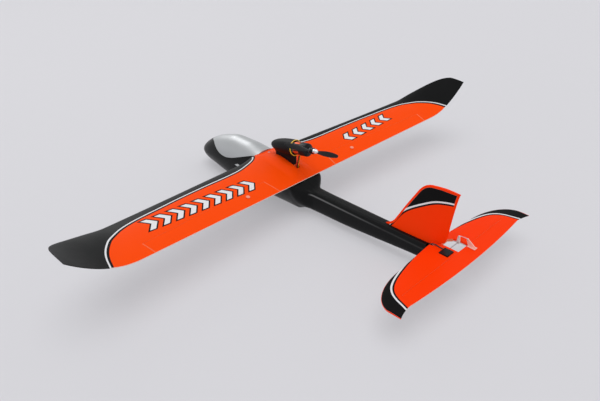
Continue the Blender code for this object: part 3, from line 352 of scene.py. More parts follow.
def carve(obj, steps, smooth=35.0):
    """Applies booleans, given as (tool, operation), and shades the result."""
    for other, operation in steps:
        change = obj.modifiers.new(operation.lower(), "BOOLEAN")
        change.operation = operation
        change.solver = "MANIFOLD"
        change.object = other
    if steps:
        bpy.context.view_layer.update()
        graph = bpy.context.evaluated_depsgraph_get()
        mesh = bpy.data.meshes.new_from_object(obj.evaluated_get(graph))
        old = obj.data
        obj.modifiers.clear()
        obj.data = mesh
        bpy.data.meshes.remove(old)
    mesh = obj.data
    mesh.name = obj.name
    mesh.materials.clear()
    mesh.shade_smooth()
    mesh.set_sharp_from_angle(angle=math.radians(smooth))
    return obj


def less(*others):
    return [(other, "DIFFERENCE") for other in others]


def put(obj, body, slot, *mats, nodes=()):
    """Gives a finished piece its materials and its body, and hides the CAD nodes it stands for.
    """
    for mat in mats:
        obj.data.materials.append(mat)
    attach(obj, body)
    if nodes:
        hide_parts(*nodes)
    return obj


def coordinates(obj):
    count = len(obj.data.vertices)
    values = np.zeros(count * 3)
    obj.data.vertices.foreach_get("co", values)
    return values.reshape(count, 3)


def store(obj, name, values):
    """Keeps one number for each point, for the paint materials to read."""
    layer = obj.data.attributes.new(name, "FLOAT", "POINT")
    layer.data.foreach_set("value", np.asarray(values, np.float32))


def mark_bare_faces(obj, back_edge, black_from):
    """Rearward faces show bare foam along the trailing edge, up to the black tip, and
    cut foam inside the object."""
    for face in obj.data.polygons:
        if face.normal.y > 0.75:
            reach = abs(face.center.x)
            at_edge = face.center.y > back_edge(reach) - 0.0012
            face.material_index = (1 if reach < black_from else 0) if at_edge else 2


# ---------------------------------------------------------------- shader helpers

class Shade:
    """A Principled material under construction, with short calls for its nodes."""

    def __init__(self, name, color=(0.5, 0.5, 0.5), roughness=0.5, metallic=0.0, **extra):
        self.mat = bpy.data.materials.new(name)
        self.mat.use_nodes = True
        self.tree = self.mat.node_tree
        self.out = self.tree.nodes["Principled BSDF"]
        self.out.inputs["Base Color"].default_value = (*color, 1.0)
        self.out.inputs["Roughness"].default_value = roughness
        self.out.inputs["Metallic"].default_value = metallic
        for key, value in extra.items():
            self.out.inputs[key.replace("_", " ")].default_value = value

    def feed(self, socket, value):
        if isinstance(value, bpy.types.NodeSocket):
            self.tree.links.new(value, socket)
        else:
            socket.default_value = value

    def new(self, kind, **settings):
        made = self.tree.nodes.new(kind)
        for key, value in settings.items():
            setattr(made, key, value)
        return made

    def math(self, operation, *values, clamp=False):
        made = self.new("ShaderNodeMath", operation=operation, use_clamp=clamp)
        for socket, value in zip(made.inputs, values):
            self.feed(socket, value)
        return made.outputs[0]

    def step(self, value, edge, soft=0.00015):
        """0 below the edge and 1 above it, with a short ramp between."""
        shifted = self.math("SUBTRACT", value, edge)
        return self.math("MULTIPLY_ADD", shifted, 1.0 / (2 * soft), 0.5, clamp=True)

    def mix(self, factor, first, second):
        made = self.new("ShaderNodeMix", data_type="RGBA")
        self.feed(made.inputs["Factor"], factor)
        for socket, value in ((made.inputs[6], first), (made.inputs[7], second)):
            if isinstance(value, tuple):
                value = (*value[:3], 1.0)
            self.feed(socket, value)
        return made.outputs[2]

    def place(self):
        return self.new("ShaderNodeTexCoord").outputs["Object"]

    def axes(self):
        split = self.new("ShaderNodeSeparateXYZ")
        self.feed(split.inputs[0], self.place())
        return split.outputs

    def attribute(self, name):
        return self.new("ShaderNodeAttribute", attribute_name=name).outputs["Fac"]

    def noise(self, scale, detail=3.0, rough=0.55):
        made = self.new("ShaderNodeTexNoise")
        self.feed(made.inputs["Vector"], self.place())
        for key, value in (("Scale", scale), ("Detail", detail), ("Roughness", rough)):
            made.inputs[key].default_value = value
        return made.outputs["Fac"]

    def cells(self, scale):
        made = self.new("ShaderNodeTexVoronoi", feature="DISTANCE_TO_EDGE")
        self.feed(made.inputs["Vector"], self.place())
        made.inputs["Scale"].default_value = scale
        return made.outputs["Distance"]

    def span(self, value, low, high):
        """Maps 0..1 to low..high."""
        return self.math("MULTIPLY_ADD", value, high - low, low)

    def bump(self, height, strength, distance):
        made = self.new("ShaderNodeBump")
        made.inputs["Strength"].default_value = strength
        made.inputs["Distance"].default_value = distance
        self.feed(made.inputs["Height"], height)
        self.tree.links.new(made.outputs["Normal"], self.out.inputs["Normal"])

    def set(self, name, value):
        self.feed(self.out.inputs[name], value)


def foam_surface(shade, rough_low, rough_high):
    """Moulded bead foam: faint cells, a slow ripple and uneven gloss."""
    beads = shade.math("MINIMUM", shade.cells(330.0), 0.12)
    ripple = shade.noise(28.0, 2.0)
    height = shade.math("MULTIPLY_ADD", ripple, 0.55, shade.math("MULTIPLY", beads, 2.4))
    shade.bump(height, 0.16, 0.0006)
    shade.set("Roughness", shade.span(shade.noise(60.0), rough_low, rough_high))


def tinted(shade, color, amount):
    """A colour that wanders a little in brightness."""
    light = tuple(min(1.0, c * (1 + amount)) for c in color)
    dark = tuple(c * (1 - amount) for c in color)
    return shade.mix(shade.noise(19.0), dark, light)


def plain(name, color, low, high, metallic=0.0, bump=0.05, scale=900.0, **extra):
    """A simple finish with fine grain in its gloss and surface."""
    shade = Shade(name, color, low, metallic, **extra)
    grain = shade.noise(scale, 4.0)
    shade.set("Base Color", shade.mix(shade.noise(140.0), tuple(c * 0.90 for c in color),
                                      tuple(min(1.0, c * 1.08) for c in color)))
    shade.set("Roughness", shade.span(grain, low, high))
    shade.bump(grain, bump, 0.0003)
    return shade.mat


def chevrons(shade, x, y, middle, half_length, half_height, pitch, width, way):
    """How far inside a row of chevrons a point is, in metres; negative outside."""
    across = shade.math("ABSOLUTE", shade.math("SUBTRACT", y, middle[1]))
    along = shade.math("MULTIPLY", shade.math("SUBTRACT", x, middle[0]), way)
    bent = shade.math("MULTIPLY_ADD", across, CHEVRON_SLANT, along)
    cell = shade.math("WRAP", bent, pitch / 2, -pitch / 2)
    bar = shade.math("SUBTRACT", width / 2, shade.math("ABSOLUTE", cell))
    bar = shade.math("MULTIPLY", bar, 1 / math.hypot(1.0, CHEVRON_SLANT))
    inside = shade.math("MINIMUM", bar, shade.math("SUBTRACT", half_height, across))
    ends = shade.math("SUBTRACT", half_length, shade.math("ABSOLUTE", bent))
    return shade.math("MINIMUM", inside, ends)


def aileron_seam_highlights(shade, x, y, side):
    """Painted highlight: 1 along the aileron's two ends, a pale line of light along the gap
    beside the cut, scaled to 0.55 on the right wing and 0.35 on the left.
    """
    seam_highlights = 0.0
    for hinge, trailing in ((HINGE_IN, AILERON_TE_IN), (HINGE_OUT, AILERON_TE_OUT)):
        length = math.dist(hinge, trailing)
        run, rise = (trailing[0] - hinge[0]) * side / length, (trailing[1] - hinge[1]) / length
        across = shade.math("SUBTRACT", shade.math("MULTIPLY", x, rise),
                            shade.math("MULTIPLY", y, run))
        across = shade.math("SUBTRACT", across, hinge[0] * side * rise - hinge[1] * run)
        near = shade.math("SUBTRACT", SEAM_HALF_WIDTH, shade.math("ABSOLUTE", across))
        behind = shade.math("GREATER_THAN", y, hinge[1])
        near = shade.math("MULTIPLY", shade.step(near, 0.0, 0.0004), behind)
        seam_highlights = shade.math("ADD", seam_highlights, near)
    return shade.math("MULTIPLY", seam_highlights, 0.55 if side < 0 else 0.35)


def wing_paint(name, side):
    """Orange field, black tip and leading edge, a white pinstripe between them and a
    row of plain chevrons."""
    shade = Shade(name, ORANGE, 0.5, Specular_IOR_Level=0.04)
    band = shade.attribute("band")
    if side > 0:
        band = shade.math("SUBTRACT", band, LEFT_STRIPE_SHIFT)
    x, y = shade.axes()[:2]
    color = tinted(shade, ORANGE, 0.03)
    inside = chevrons(shade, x, y, *(LEFT_CHEVRONS if side > 0 else RIGHT_CHEVRONS))
    upper = shade.step(shade.attribute("upper"), 0.0)
    seam_highlights = shade.math("MULTIPLY", aileron_seam_highlights(shade, x, y, side), upper)
    # painted highlight along the aileron ends
    color = shade.mix(seam_highlights, color, SEAM_HIGHLIGHT)
    dark = shade.math("MULTIPLY", shade.step(inside, -CHEVRON_RIM), upper)
    light = shade.math("MULTIPLY", shade.step(inside, 0.0), upper)
    color = shade.mix(dark, color, (0.012, 0.006, 0.006))
    color = shade.mix(light, color, WHITE)
    line = shade.math("MULTIPLY_ADD", shade.step(y, -0.075, 0.02), 0.0006, STRIPE_LINE)
    lined = shade.step(shade.math("SUBTRACT", line, band), 0.0)
    white = shade.step(shade.math("SUBTRACT", STRIPE_HALF, band), 0.0)
    black = shade.step(shade.math("SUBTRACT", -STRIPE_HALF, band), 0.0)
    color = shade.mix(lined, color, LINE_BLACK)
    color = shade.mix(white, color, WHITE)
    color = shade.mix(black, color, tinted(shade, FOAM_BLACK, 0.15))
    painted = shade.step(shade.attribute("upper"), UNDERSIDE_EDGE, 0.0003)
    shade.set("Base Color", shade.mix(painted, BARE_FOAM, color))
    if side > 0:
        shade.set("Specular IOR Level", shade.math("MULTIPLY_ADD", black, 0.06, 0.04))
    foam_surface(shade, 0.40, 0.52)
    return shade.mat


def tail_paint(name, rim, underside=False):
    """Orange with a black panel past the stripe, and an orange rim left round it."""
    shade = Shade(name, TAIL_ORANGE, 0.5, Specular_IOR_Level=0.04)
    band, edge = shade.attribute("band"), shade.attribute("rim")
    color = tinted(shade, TAIL_ORANGE, 0.03)
    inner = shade.step(edge, rim)
    second = shade.math("MULTIPLY", shade.step(band, -0.0048), inner)
    color = shade.mix(second, color, LINE_BLACK)
    white = shade.math("MULTIPLY", shade.step(band, -0.0016), inner)
    color = shade.mix(white, color, WHITE)
    panel = shade.math("MULTIPLY", shade.step(band, 0.0016), inner)
    color = shade.mix(panel, color, tinted(shade, FOAM_BLACK, 0.15))
    if underside:
        painted = shade.step(shade.attribute("upper"), -0.0008, 0.0002)
        color = shade.mix(painted, BARE_FOAM, color)
    shade.set("Base Color", color)
    foam_surface(shade, 0.40, 0.52)
    return shade.mat


def side_label(shade, x, y, z):
    """1 on the small plain label on the fuselage's left side, a parallelogram given by
    a corner and two edges."""
    (y0, z0), (dy, dz), (ey, ez) = (-0.2170, 0.0509), (0.0123, 0.0054), (0.0096, -0.0017)
    scale = dy * ez - dz * ey
    y, z = shade.math("SUBTRACT", y, y0), shade.math("SUBTRACT", z, z0)

    def within(a, b):
        part = shade.math("ADD", shade.math("MULTIPLY", y, a / scale),
                          shade.math("MULTIPLY", z, b / scale))
        middle = shade.math("ABSOLUTE", shade.math("SUBTRACT", part, 0.5))
        return shade.math("LESS_THAN", middle, 0.5)

    inside = shade.math("MULTIPLY", within(ez, -ey), within(-dz, dy))
    return shade.math("MULTIPLY", inside, shade.math("GREATER_THAN", x, 0.02))


def boom_painted_highlight(shade, x, y, z):
    """A painted highlight: a pale line along the boom's sides, strongest behind the wing."""
    middle = shade.math("MULTIPLY_ADD", y, SHEEN_FALL, SHEEN_HEIGHT)
    away = shade.math("ABSOLUTE", shade.math("SUBTRACT", z, middle))
    near = shade.math("MULTIPLY_ADD", away, -1.0 / SHEEN_HALF_WIDTH, 1.0, clamp=True)
    start = shade.step(y, 0.002, 0.004)
    fade = shade.math("MULTIPLY_ADD", shade.step(y, 0.105, 0.085), -0.85, 1.0)
    side = shade.math("GREATER_THAN", shade.math("ABSOLUTE", x), SHEEN_FROM_X)
    along = shade.math("MULTIPLY", shade.math("MULTIPLY", start, fade), side)
    return shade.math("MULTIPLY", near, along)


def make_materials():
    mats = {}
    mats["wing_left"] = wing_paint("wing_paint_left", 1)
    mats["wing_right"] = wing_paint("wing_paint_right", -1)
    mats["tail"] = tail_paint("tail_paint", 0.0006, underside=True)
    mats["fin"] = tail_paint("fin_paint", 0.0042)

    edge = Shade("bare_foam_edge", (0.86, 0.62, 0.52), 0.6)
    edge.set("Base Color", edge.mix(edge.noise(420.0), (0.80, 0.48, 0.36), (0.90, 0.80, 0.76)))
    foam_surface(edge, 0.55, 0.75)
    mats["edge"] = edge.mat

    inner = Shade("cut_foam", (0.80, 0.30, 0.18), 0.6)
    inner.set("Base Color", tinted(inner, (0.85, 0.22, 0.10), 0.12))
    foam_surface(inner, 0.55, 0.70)
    mats["cut_orange"] = inner.mat

    black = Shade("black_foam", FOAM_BLACK, 0.36, Specular_IOR_Level=0.10)
    x, y, z = black.axes()
    color = tinted(black, FOAM_BLACK, 0.25)
    # painted highlight: a pale line along the boom's sides
    color = black.mix(boom_painted_highlight(black, x, y, z), color, (0.20, 0.20, 0.20))
    black.set("Base Color", black.mix(side_label(black, x, y, z), color, (0.52, 0.53, 0.54)))
    foam_surface(black, 0.24, 0.36)
    mats["black"] = black.mat

    silver = Shade("silver_canopy", (0.44, 0.45, 0.46), 0.40, 0.50)
    flake = silver.noise(2600.0, 2.0)
    silver.set("Base Color", silver.mix(flake, (0.36, 0.37, 0.38), (0.50, 0.51, 0.52)))
    silver.set("Roughness", silver.span(silver.noise(75.0), 0.40, 0.48))
    ripple = silver.math("MULTIPLY_ADD", silver.math("MINIMUM", silver.cells(330.0), 0.12), 0.8,
                         silver.noise(30.0, 2.0))
    silver.bump(ripple, 0.05, 0.0006)
    mats["silver"] = silver.mat

    mats["plastic"] = plain("black_plastic", (0.008, 0.008, 0.009), 0.30, 0.45,
                            Specular_IOR_Level=0.18)
    mats["matt"] = plain("black_pylon", (0.006, 0.006, 0.007), 0.42, 0.58, bump=0.12,
                         Specular_IOR_Level=0.12)
    mats["white"] = plain("white_plastic", (0.78, 0.78, 0.77), 0.32, 0.45)
    mats["plate"] = plain("horn_plate", (0.92, 0.30, 0.19), 0.32, 0.45)
    mats["tail_horn"] = plain("tail_horn_plastic", (0.90, 0.50, 0.42), 0.32, 0.45)
    mats["yellow"] = plain("yellow_plastic", (0.78, 0.50, 0.02), 0.32, 0.42)
    mats["steel"] = plain("steel_wire", (0.56, 0.56, 0.58), 0.22, 0.38, metallic=1.0)
    mats["aluminium"] = plain("turned_aluminium", (0.72, 0.72, 0.74), 0.22, 0.36, metallic=1.0)
    mats["carbon"] = plain("carbon_tube", (0.02, 0.02, 0.022), 0.22, 0.40)
    mats["wrap"] = plain("battery_wrap", (0.04, 0.09, 0.30), 0.22, 0.38, scale=300.0)
    mats["shrink"] = plain("shrink_wrap", (0.02, 0.05, 0.18), 0.20, 0.34, scale=300.0, bump=0.1)
    mats["felt"] = plain("hook_and_loop", (0.02, 0.02, 0.02), 0.85, 0.98, scale=1500.0, bump=0.6)
    for word, color in (("black", (0.011, 0.011, 0.011)), ("yellow", (0.72, 0.46, 0.02)),
                        ("red", (0.50, 0.012, 0.010))):
        mats["wire_" + word] = plain("wire_" + word, color, 0.35, 0.5)

    wood = Shade("plywood", (0.45, 0.30, 0.16), 0.7)
    x, y, z = wood.axes()
    rings = wood.math("ADD", wood.math("MULTIPLY", x, 160.0), wood.noise(24.0))
    stripe = wood.math("PINGPONG", rings, 0.5)
    wood.set("Base Color", wood.mix(stripe, (0.40, 0.25, 0.12), (0.62, 0.45, 0.27)))
    wood.set("Roughness", wood.span(wood.noise(200.0), 0.60, 0.80))
    wood.bump(stripe, 0.05, 0.0003)
    mats["wood"] = wood.mat

    mats["stator"] = stator_paint()
    return mats


def stator_paint():
    """Lacquered copper coils between dark laminations, round the thrust line."""
    shade = Shade("motor_stator", (0.5, 0.1, 0.03), 0.35, 0.7)
    local = shade.new("ShaderNodeMapping", vector_type="TEXTURE")
    shade.feed(local.inputs["Vector"], shade.place())
    local.inputs["Location"].default_value = HUB
    local.inputs["Rotation"].default_value = (-(math.pi / 2 - THRUST_TILT), 0, 0)
    split = shade.new("ShaderNodeSeparateXYZ")
    shade.feed(split.inputs[0], local.outputs[0])
    x, y, z = split.outputs
    angle = shade.math("ARCTAN2", y, x)
    slots = shade.math("PINGPONG", shade.math("MULTIPLY", angle, 12 / math.tau), 0.5)
    coil = shade.step(slots, 0.16, 0.03)
    color = shade.mix(coil, (0.02, 0.02, 0.022), (0.62, 0.10, 0.03))
    flange = shade.step(z, -0.0440, 0.0002)
    color = shade.mix(flange, (0.60, 0.60, 0.62), color)
    shade.set("Base Color", color)
    shade.set("Roughness", shade.span(shade.noise(700.0), 0.28, 0.42))
    turns = shade.math("PINGPONG", shade.math("MULTIPLY", z, 1400.0), 0.5)
    shade.bump(shade.math("MULTIPLY", turns, coil), 0.3, 0.0003)
    return shade.mat


# ---------------------------------------------------------------- wing

def thickness_law(s):
    return 10 * (0.2969 * math.sqrt(s) - 0.1260 * s - 0.3516 * s ** 2
                 + 0.2843 * s ** 3 - 0.1036 * s ** 4)


def wing_edges(x):
    rounding = min(max((x - TIP_START) / (HALF_SPAN + 0.001 - TIP_START), 0.0), 1.0)
    front = WING_LE + WING_LE_SWEEP * x + TIP_ROUND * (1 - math.sqrt(1 - rounding ** 2.2))
    front -= 0.009 * (1 - blend(x, 0.022, 0.085))
    return front, WING_TE + WING_TE_SWEEP * x - 0.004 * max(0.0, (x - 0.46) / 0.09) ** 0.8


def wing_height(x, s, upper):
    base = WING_TE_HEIGHT + DIHEDRAL * x + UPSWEEP * max(0.0, x - UPSWEEP_START) ** 2
    tip = blend(x, 0.45, HALF_SPAN)
    rise = 0.0095 - 0.002 * blend(x, 0.0, 0.4) - 0.0055 * tip
    over = 0.0115 + 0.0032 * (1 - blend(x, 0.0, 0.07)) - 0.0015 * blend(x, 0.07, 0.4)
    over -= 0.0082 * tip
    hump = 0.0104 * blend(s, 0.08, 0.50) * (1 - blend(s, 0.76, 1.0))
    hump *= 1 - blend(x, 0.004, 0.036)
    under = 0.0040 - 0.0032 * tip
    edge = EDGE_THICKNESS / 2 * s
    if upper:
        return base + rise * (1 - s) + over * thickness_law(s) + hump + edge
    return base + rise * (1 - s) - under * thickness_law(s) - edge


def wing_section(x, side, grow=0.0, lid=None, count=34):
    front, back = wing_edges(x)
    front, back = front - grow, back + grow
    spots = [0.5 * (1 + math.cos(math.pi * i / count)) for i in range(count + 1)]
    points = []
    for s in spots[:-1]:
        height = lid if lid else wing_height(x, s, True) + grow
        points.append((side * x, front + (back - front) * s, height))
    for s in reversed(spots):
        height = wing_height(x, s, False) - (grow if s > 0.0 else 0.0)
        points.append((side * x, front + (back - front) * s, height))
    return points


def whole_wing(name, side):
    stations = spread(GAP / 2, 30, 0.09, 44, 0.42, 22, 0.52, 20, HALF_SPAN)
    return loft(name, [wing_section(x, side) for x in stations])


def hinge_frame(side):
    ends = []
    for x, y in (HINGE_IN, HINGE_OUT):
        front, back = wing_edges(x)
        ends.append(Vector((x, y, wing_height(x, (y - front) / (back - front), True)
                            - HINGE_DEPTH)))
    along = (ends[1] - ends[0]) / (ends[1].x - ends[0].x)
    origin = ends[0] + along * (LINK_X - ends[0].x)
    origin.x *= side
    x_axis = Vector((along.x, side * along.y, side * along.z)).normalized()
    y_axis = Vector((0, 0, 1)).cross(x_axis).normalized()
    z_axis = x_axis.cross(y_axis)
    return Matrix.Translation(origin) @ Matrix((x_axis, y_axis, z_axis)).transposed().to_4x4()


def aileron_outline(side, grow):
    corners = ((HINGE_IN, -1), (AILERON_TE_IN, -1), (AILERON_TE_OUT, 1), (HINGE_OUT, 1))
    return [(side * (x + end * grow), y) for (x, y), end in corners]


def paint_wing(obj):
    """Stores how far each point is inside the stripe and how far above the middle of
    the section, and marks the bare faces."""
    points = coordinates(obj)
    span = np.abs(points[:, 0])
    flat = np.column_stack((span, points[:, 1]))
    store(obj, "band", signed_distance(flat, flat_curve(WING_STRIPE)))
    upper = []
    for x, y, z in zip(span, points[:, 1], points[:, 2]):
        front, back = wing_edges(min(x, HALF_SPAN))
        s = min(max((y - front) / (back - front), 0.0), 1.0)
        middle = 0.5 * (wing_height(x, s, True) + wing_height(x, s, False))
        upper.append(z - middle)
    store(obj, "upper", upper)
    mark_bare_faces(obj, lambda x: wing_edges(min(x, HALF_SPAN))[1], BLACK_WING_FROM)


def make_wing_skins(mats, cutters):
    for side, word in ((1, "left"), (-1, "right")):
        joint = hinge_frame(side)
        pivot_y, pivot_z = SERVO_PIVOT
        bay = tool(plate("bay_" + word, [(x, y - HINGE_GAP)
                                         for x, y in aileron_outline(side, HINGE_GAP)],
                         0.0, 0.2, "Z"))
        pocket = tool(box("pocket_" + word, (-0.0036, pivot_y - 0.0150, -0.040),
                          (SERVO_HEIGHT + 0.0034, pivot_y + 0.0068,
                           pivot_z + SERVO_THICKNESS / 2 + 0.0004)))
        pocket.matrix_world = joint
        panel = whole_wing("skin_wing_" + word, side)
        carve(panel, less(bay, pocket, cutters["spar"], cutters["pylon"], cutters["wires"],
                          cutters["screw"], cutters["screw_head"]))
        paint_wing(panel)
        put(panel, "airframe", "orange_foam", mats["wing_" + word], mats["edge"],
            mats["cut_orange"], nodes=("wing_" + word,))

        keep = tool(plate("keep_" + word, aileron_outline(side, -HINGE_GAP), 0.0, 0.2, "Z"))
        slope = math.tan(HINGE_BEVEL) * 0.03
        bevel = tool(plate("bevel_" + word, ((-0.01, 0.02), (HINGE_GAP, 0.02), (HINGE_GAP, 0.0),
                                             (HINGE_GAP + slope, -0.03), (-0.01, -0.03)),
                           -0.35, 0.35, "X"))
        bevel.matrix_world = joint
        flap = whole_wing("skin_aileron_" + word, side)
        carve(flap, [(keep, "INTERSECT"), (bevel, "DIFFERENCE")])
        paint_wing(flap)
        put(flap, word + "_aileron", "orange_foam", mats["wing_" + word], mats["edge"],
            mats["cut_orange"], nodes=("aileron_" + word,))


# ---------------------------------------------------------------- fuselage

def body_sections(stations, step, floor=0.0, count=96):
    sections = []
    for y, width, middle, top, bottom, over, under in refine(stations, step):
        ring = []
        for i in range(count):
            angle = math.tau * (i + 0.5) / count
            c, s = math.cos(angle), math.sin(angle)
            power = 2 / (over if s > 0 else under)
            reach = (top - middle) if s > 0 else (middle - bottom)
            x = math.copysign(abs(c) ** power, c) * width
            z = middle + math.copysign(abs(s) ** power, s) * reach
            ring.append((x, y, max(z, floor)))
        sections.append(ring)
    return sections


def hatch_tool(name, gap):
    smooth = smooth_path([(y, z, 0.0) for y, z in HATCH_LINE], 0.002)
    line = [(p[0] - gap, p[1] - gap) for p in smooth]
    outline = [(line[0][0], HATCH_TOP)] + line
    outline += [(HATCH_REAR, line[-1][1] + 0.0040), (HATCH_REAR, HATCH_TOP)]
    return tool(plate(name, outline, -0.06, 0.06, "X"))


def wing_tool(name, lid=None):
    stations = spread(0.06, 24, 0.0)
    sections = [wing_section(x, -1, GAP, lid) for x in stations]
    sections += [wing_section(x, 1, GAP, lid) for x in reversed(stations[:-1])]
    return tool(loft(name, sections))


def make_cutters():
    half = PYLON_HALF_WIDTH + GAP
    reach = SPAR_HALF_LENGTH + GAP
    wires = WIRE_HOLE_HALF_WIDTH
    return {
        "bay": tool(loft("cut_bay", body_sections(BAY, 0.012, BAY_FLOOR, 64))),
        "hatch": hatch_tool("cut_hatch", HATCH_GAP),
        "keep_hatch": hatch_tool("keep_hatch", 0.0),
        "seat": wing_tool("cut_seat", 0.16),
        "wing": wing_tool("cut_wing"),
        "spar": tool(cylinder("cut_spar", (-reach, SPAR_Y, SPAR_Z), (reach, SPAR_Y, SPAR_Z),
                              SPAR_RADIUS + GAP)),
        "pylon": tool(box("cut_pylon", (-half, PYLON_Y[0] - GAP, PYLON_FOOT - GAP),
                          (half, PYLON_Y[1] + GAP, 0.140))),
        "wires": tool(box("cut_wires", (-wires, WIRE_HOLE_Y[0], 0.050),
                          (wires, WIRE_HOLE_Y[1], 0.140))),
        "screw": tool(cylinder("cut_screw", (0, SCREW_Y, 0.060), (0, SCREW_Y, 0.120), 0.0018)),
        "screw_head": tool(cylinder("cut_screw_head", (0, SCREW_Y, 0.0915),
                                    (0, SCREW_Y, 0.120), 0.0038)),
        "lead": tool(box("cut_lead", (0.0035, 0.2865, 0.046), (0.0100, 0.2965, 0.070))),
    }


def make_fuselage_skins(mats, cutters):
    sections = body_sections(FUSELAGE, 0.0055)
    for side, word in ((1, "left"), (-1, "right")):
        low, high = (GAP / 2, 0.08) if side > 0 else (-0.08, -GAP / 2)
        keep = tool(box("half_" + word, (low, -0.40, -0.02), (high, 0.40, 0.20)))
        shell = loft("skin_fuselage_" + word, sections)
        carve(shell, less(*[cutters[key] for key in ("bay", "hatch", "seat", "wires", "screw",
                                                     "lead")]) + [(keep, "INTERSECT")])
        put(shell, "airframe", "black_foam", mats["black"], nodes=("fuselage_" + word,))
    front = [row for row in sections if row[0][1] < -0.090]
    hatch = loft("skin_canopy", front)
    carve(hatch, [(cutters["keep_hatch"], "INTERSECT")] + less(cutters["bay"], cutters["wing"]))
    put(hatch, "canopy", "silver_paint", mats["silver"], nodes=("canopy_hatch",))


# ---------------------------------------------------------------- tail

def tail_edges(x):
    x = abs(x)
    rounding = min(max((x - 0.12) / (TAIL_HALF_SPAN + 0.0005 - 0.12), 0.0), 1.0)
    front = TAIL_LE + 0.080 * x + 0.045 * (1 - math.sqrt(1 - rounding ** 2.2))
    bow = TAIL_BOW * (1 - min(x / 0.175, 1.0) ** 2)
    return front, TAIL_TE + bow + 0.0075 * max(0.0, (x - 0.175) / 0.034) ** 2


def flat_ring(front, back, thick, count=20):
    """(chord place, half thickness) round a thin section, tail over nose to tail."""
    spots = [0.5 * (1 + math.cos(math.pi * i / count)) for i in range(count + 1)]
    ring = []
    for side, order in ((1, spots[:-1]), (-1, spots[::-1])):
        for s in order:
            half = thick / 2 * thickness_law(s) + 0.0006 * s
            ring.append((front + (back - front) * s, side * half))
    return ring


def tail_section(x, count=20):
    front, back = tail_edges(x)
    thick = TAIL_THICKNESS * (1 - 0.55 * blend(abs(x), 0.12, TAIL_HALF_SPAN))
    return [(x, y, TAIL_PLANE + half) for y, half in flat_ring(front, back, thick, count)]


def tail_top(y):
    front, back = tail_edges(0.0)
    s = (y - front) / (back - front)
    return TAIL_PLANE + TAIL_THICKNESS / 2 * thickness_law(s) + 0.0006 * s


def whole_tail(name):
    half = spread(0.0, 36, 0.175, 22, 0.205, 5, TAIL_HALF_SPAN)
    return loft(name, [tail_section(x) for x in [-x for x in reversed(half[1:])] + half])


def paint_tail(obj):
    points = coordinates(obj)
    span = np.abs(points[:, 0])
    flat = np.column_stack((span, points[:, 1]))
    store(obj, "band", -signed_distance(flat, flat_curve(TAIL_STRIPE)))
    store(obj, "upper", points[:, 2] - TAIL_PLANE)
    outline = [(x, tail_edges(x)[0]) for x in spread(0.08, 60, TAIL_HALF_SPAN)]
    outline += [(TAIL_HALF_SPAN, tail_edges(TAIL_HALF_SPAN)[1])]
    store(obj, "rim", np.abs(signed_distance(flat, outline)))
    mark_bare_faces(obj, lambda x: tail_edges(x)[1], BLACK_TAIL_FROM)


def make_tail_skins(mats):
    half = ELEVATOR_HALF_SPAN + HINGE_GAP
    bay = tool(box("cut_elevator_bay", (-half, ELEVATOR_HINGE - HINGE_GAP, 0.0),
                   (half, 0.42, 0.1)))
    window = tool(plate("cut_window", WINDOW, 0.0, 0.1, "Z"))
    servo = tool(box("cut_tail_servo", (TAIL_SERVO_X[0] - 0.0014, TAIL_SERVO_Y[0] - 0.0004, 0.0),
                     (TAIL_SERVO_X[1] + 0.0004, TAIL_SERVO_Y[1] + 0.0004, 0.1)))
    slot = tool(box("cut_lead_slot", (0.0045, 0.2855, 0.0), (0.0110, 0.3030, 0.1)))
    y, z = CROSS_SHAFT
    bore = tool(cylinder("cut_cross_shaft", (CROSS_SHAFT_END - GAP, y, z), (0.006, y, z),
                         CROSS_SHAFT_RADIUS + 0.0004, 24))
    plane = carve(whole_tail("skin_stabiliser"), less(bay, window, servo, slot, bore))
    paint_tail(plane)
    put(plane, "airframe", "orange_foam", mats["tail"], mats["edge"], mats["cut_orange"],
        nodes=("stabiliser",))

    y, z = ELEVATOR_HINGE, tail_top(ELEVATOR_HINGE) - HINGE_DEPTH
    keep = tool(box("keep_elevator", (-ELEVATOR_HALF_SPAN, ELEVATOR_HINGE, 0.0),
                    (ELEVATOR_HALF_SPAN, 0.42, 0.1)))
    slope = math.tan(HINGE_BEVEL) * 0.03
    bevel = tool(plate("cut_elevator_bevel",
                       ((y - 0.01, z + 0.02), (y + HINGE_GAP, z + 0.02), (y + HINGE_GAP, z),
                        (y + HINGE_GAP + slope, z - 0.03), (y - 0.01, z - 0.03)),
                       -0.3, 0.3, "X"))
    flap = carve(whole_tail("skin_elevator"), [(keep, "INTERSECT"), (bevel, "DIFFERENCE")])
    paint_tail(flap)
    put(flap, "elevator", "orange_foam", mats["tail"], mats["edge"], mats["cut_orange"],
        nodes=("elevator",))


def make_fin_skin(mats):
    fine = refine(FIN_ROWS, 0.0025)
    sections = []
    for height, front, back in fine:
        thick = FIN_THICKNESS * (1 - 0.35 * blend(height, 0.07, 0.176))
        sections.append([(half, y, height) for y, half in flat_ring(front, back, thick, 28)])
    fin = loft("skin_fin", sections)
    seat = [(y, z + GAP) for x, y, z in tail_section(0.0, 8)[:8]]
    seat += [(TAIL_LE - GAP, TAIL_PLANE), (TAIL_LE - GAP, 0.040), (TAIL_TE, 0.040)]
    carve(fin, less(tool(plate("cut_fin_seat", seat, -0.01, 0.01, "X"))))
    flat = coordinates(fin)[:, 1:]
    store(fin, "band", -signed_distance(flat, flat_curve(FIN_STRIPE)))
    outline = [(front, height) for height, front, back in fine]
    outline += [(back, height) for height, front, back in reversed(fine)]
    store(fin, "rim", np.abs(signed_distance(flat, outline)))
    put(fin, "airframe", "orange_foam", mats["fin"], nodes=("fin",))


# ---------------------------------------------------------------- motor and propeller

def thrust_frame():
    tilt = Matrix.Rotation(-(math.pi / 2 - THRUST_TILT), 4, "X")
    return Matrix.Translation(HUB) @ tilt


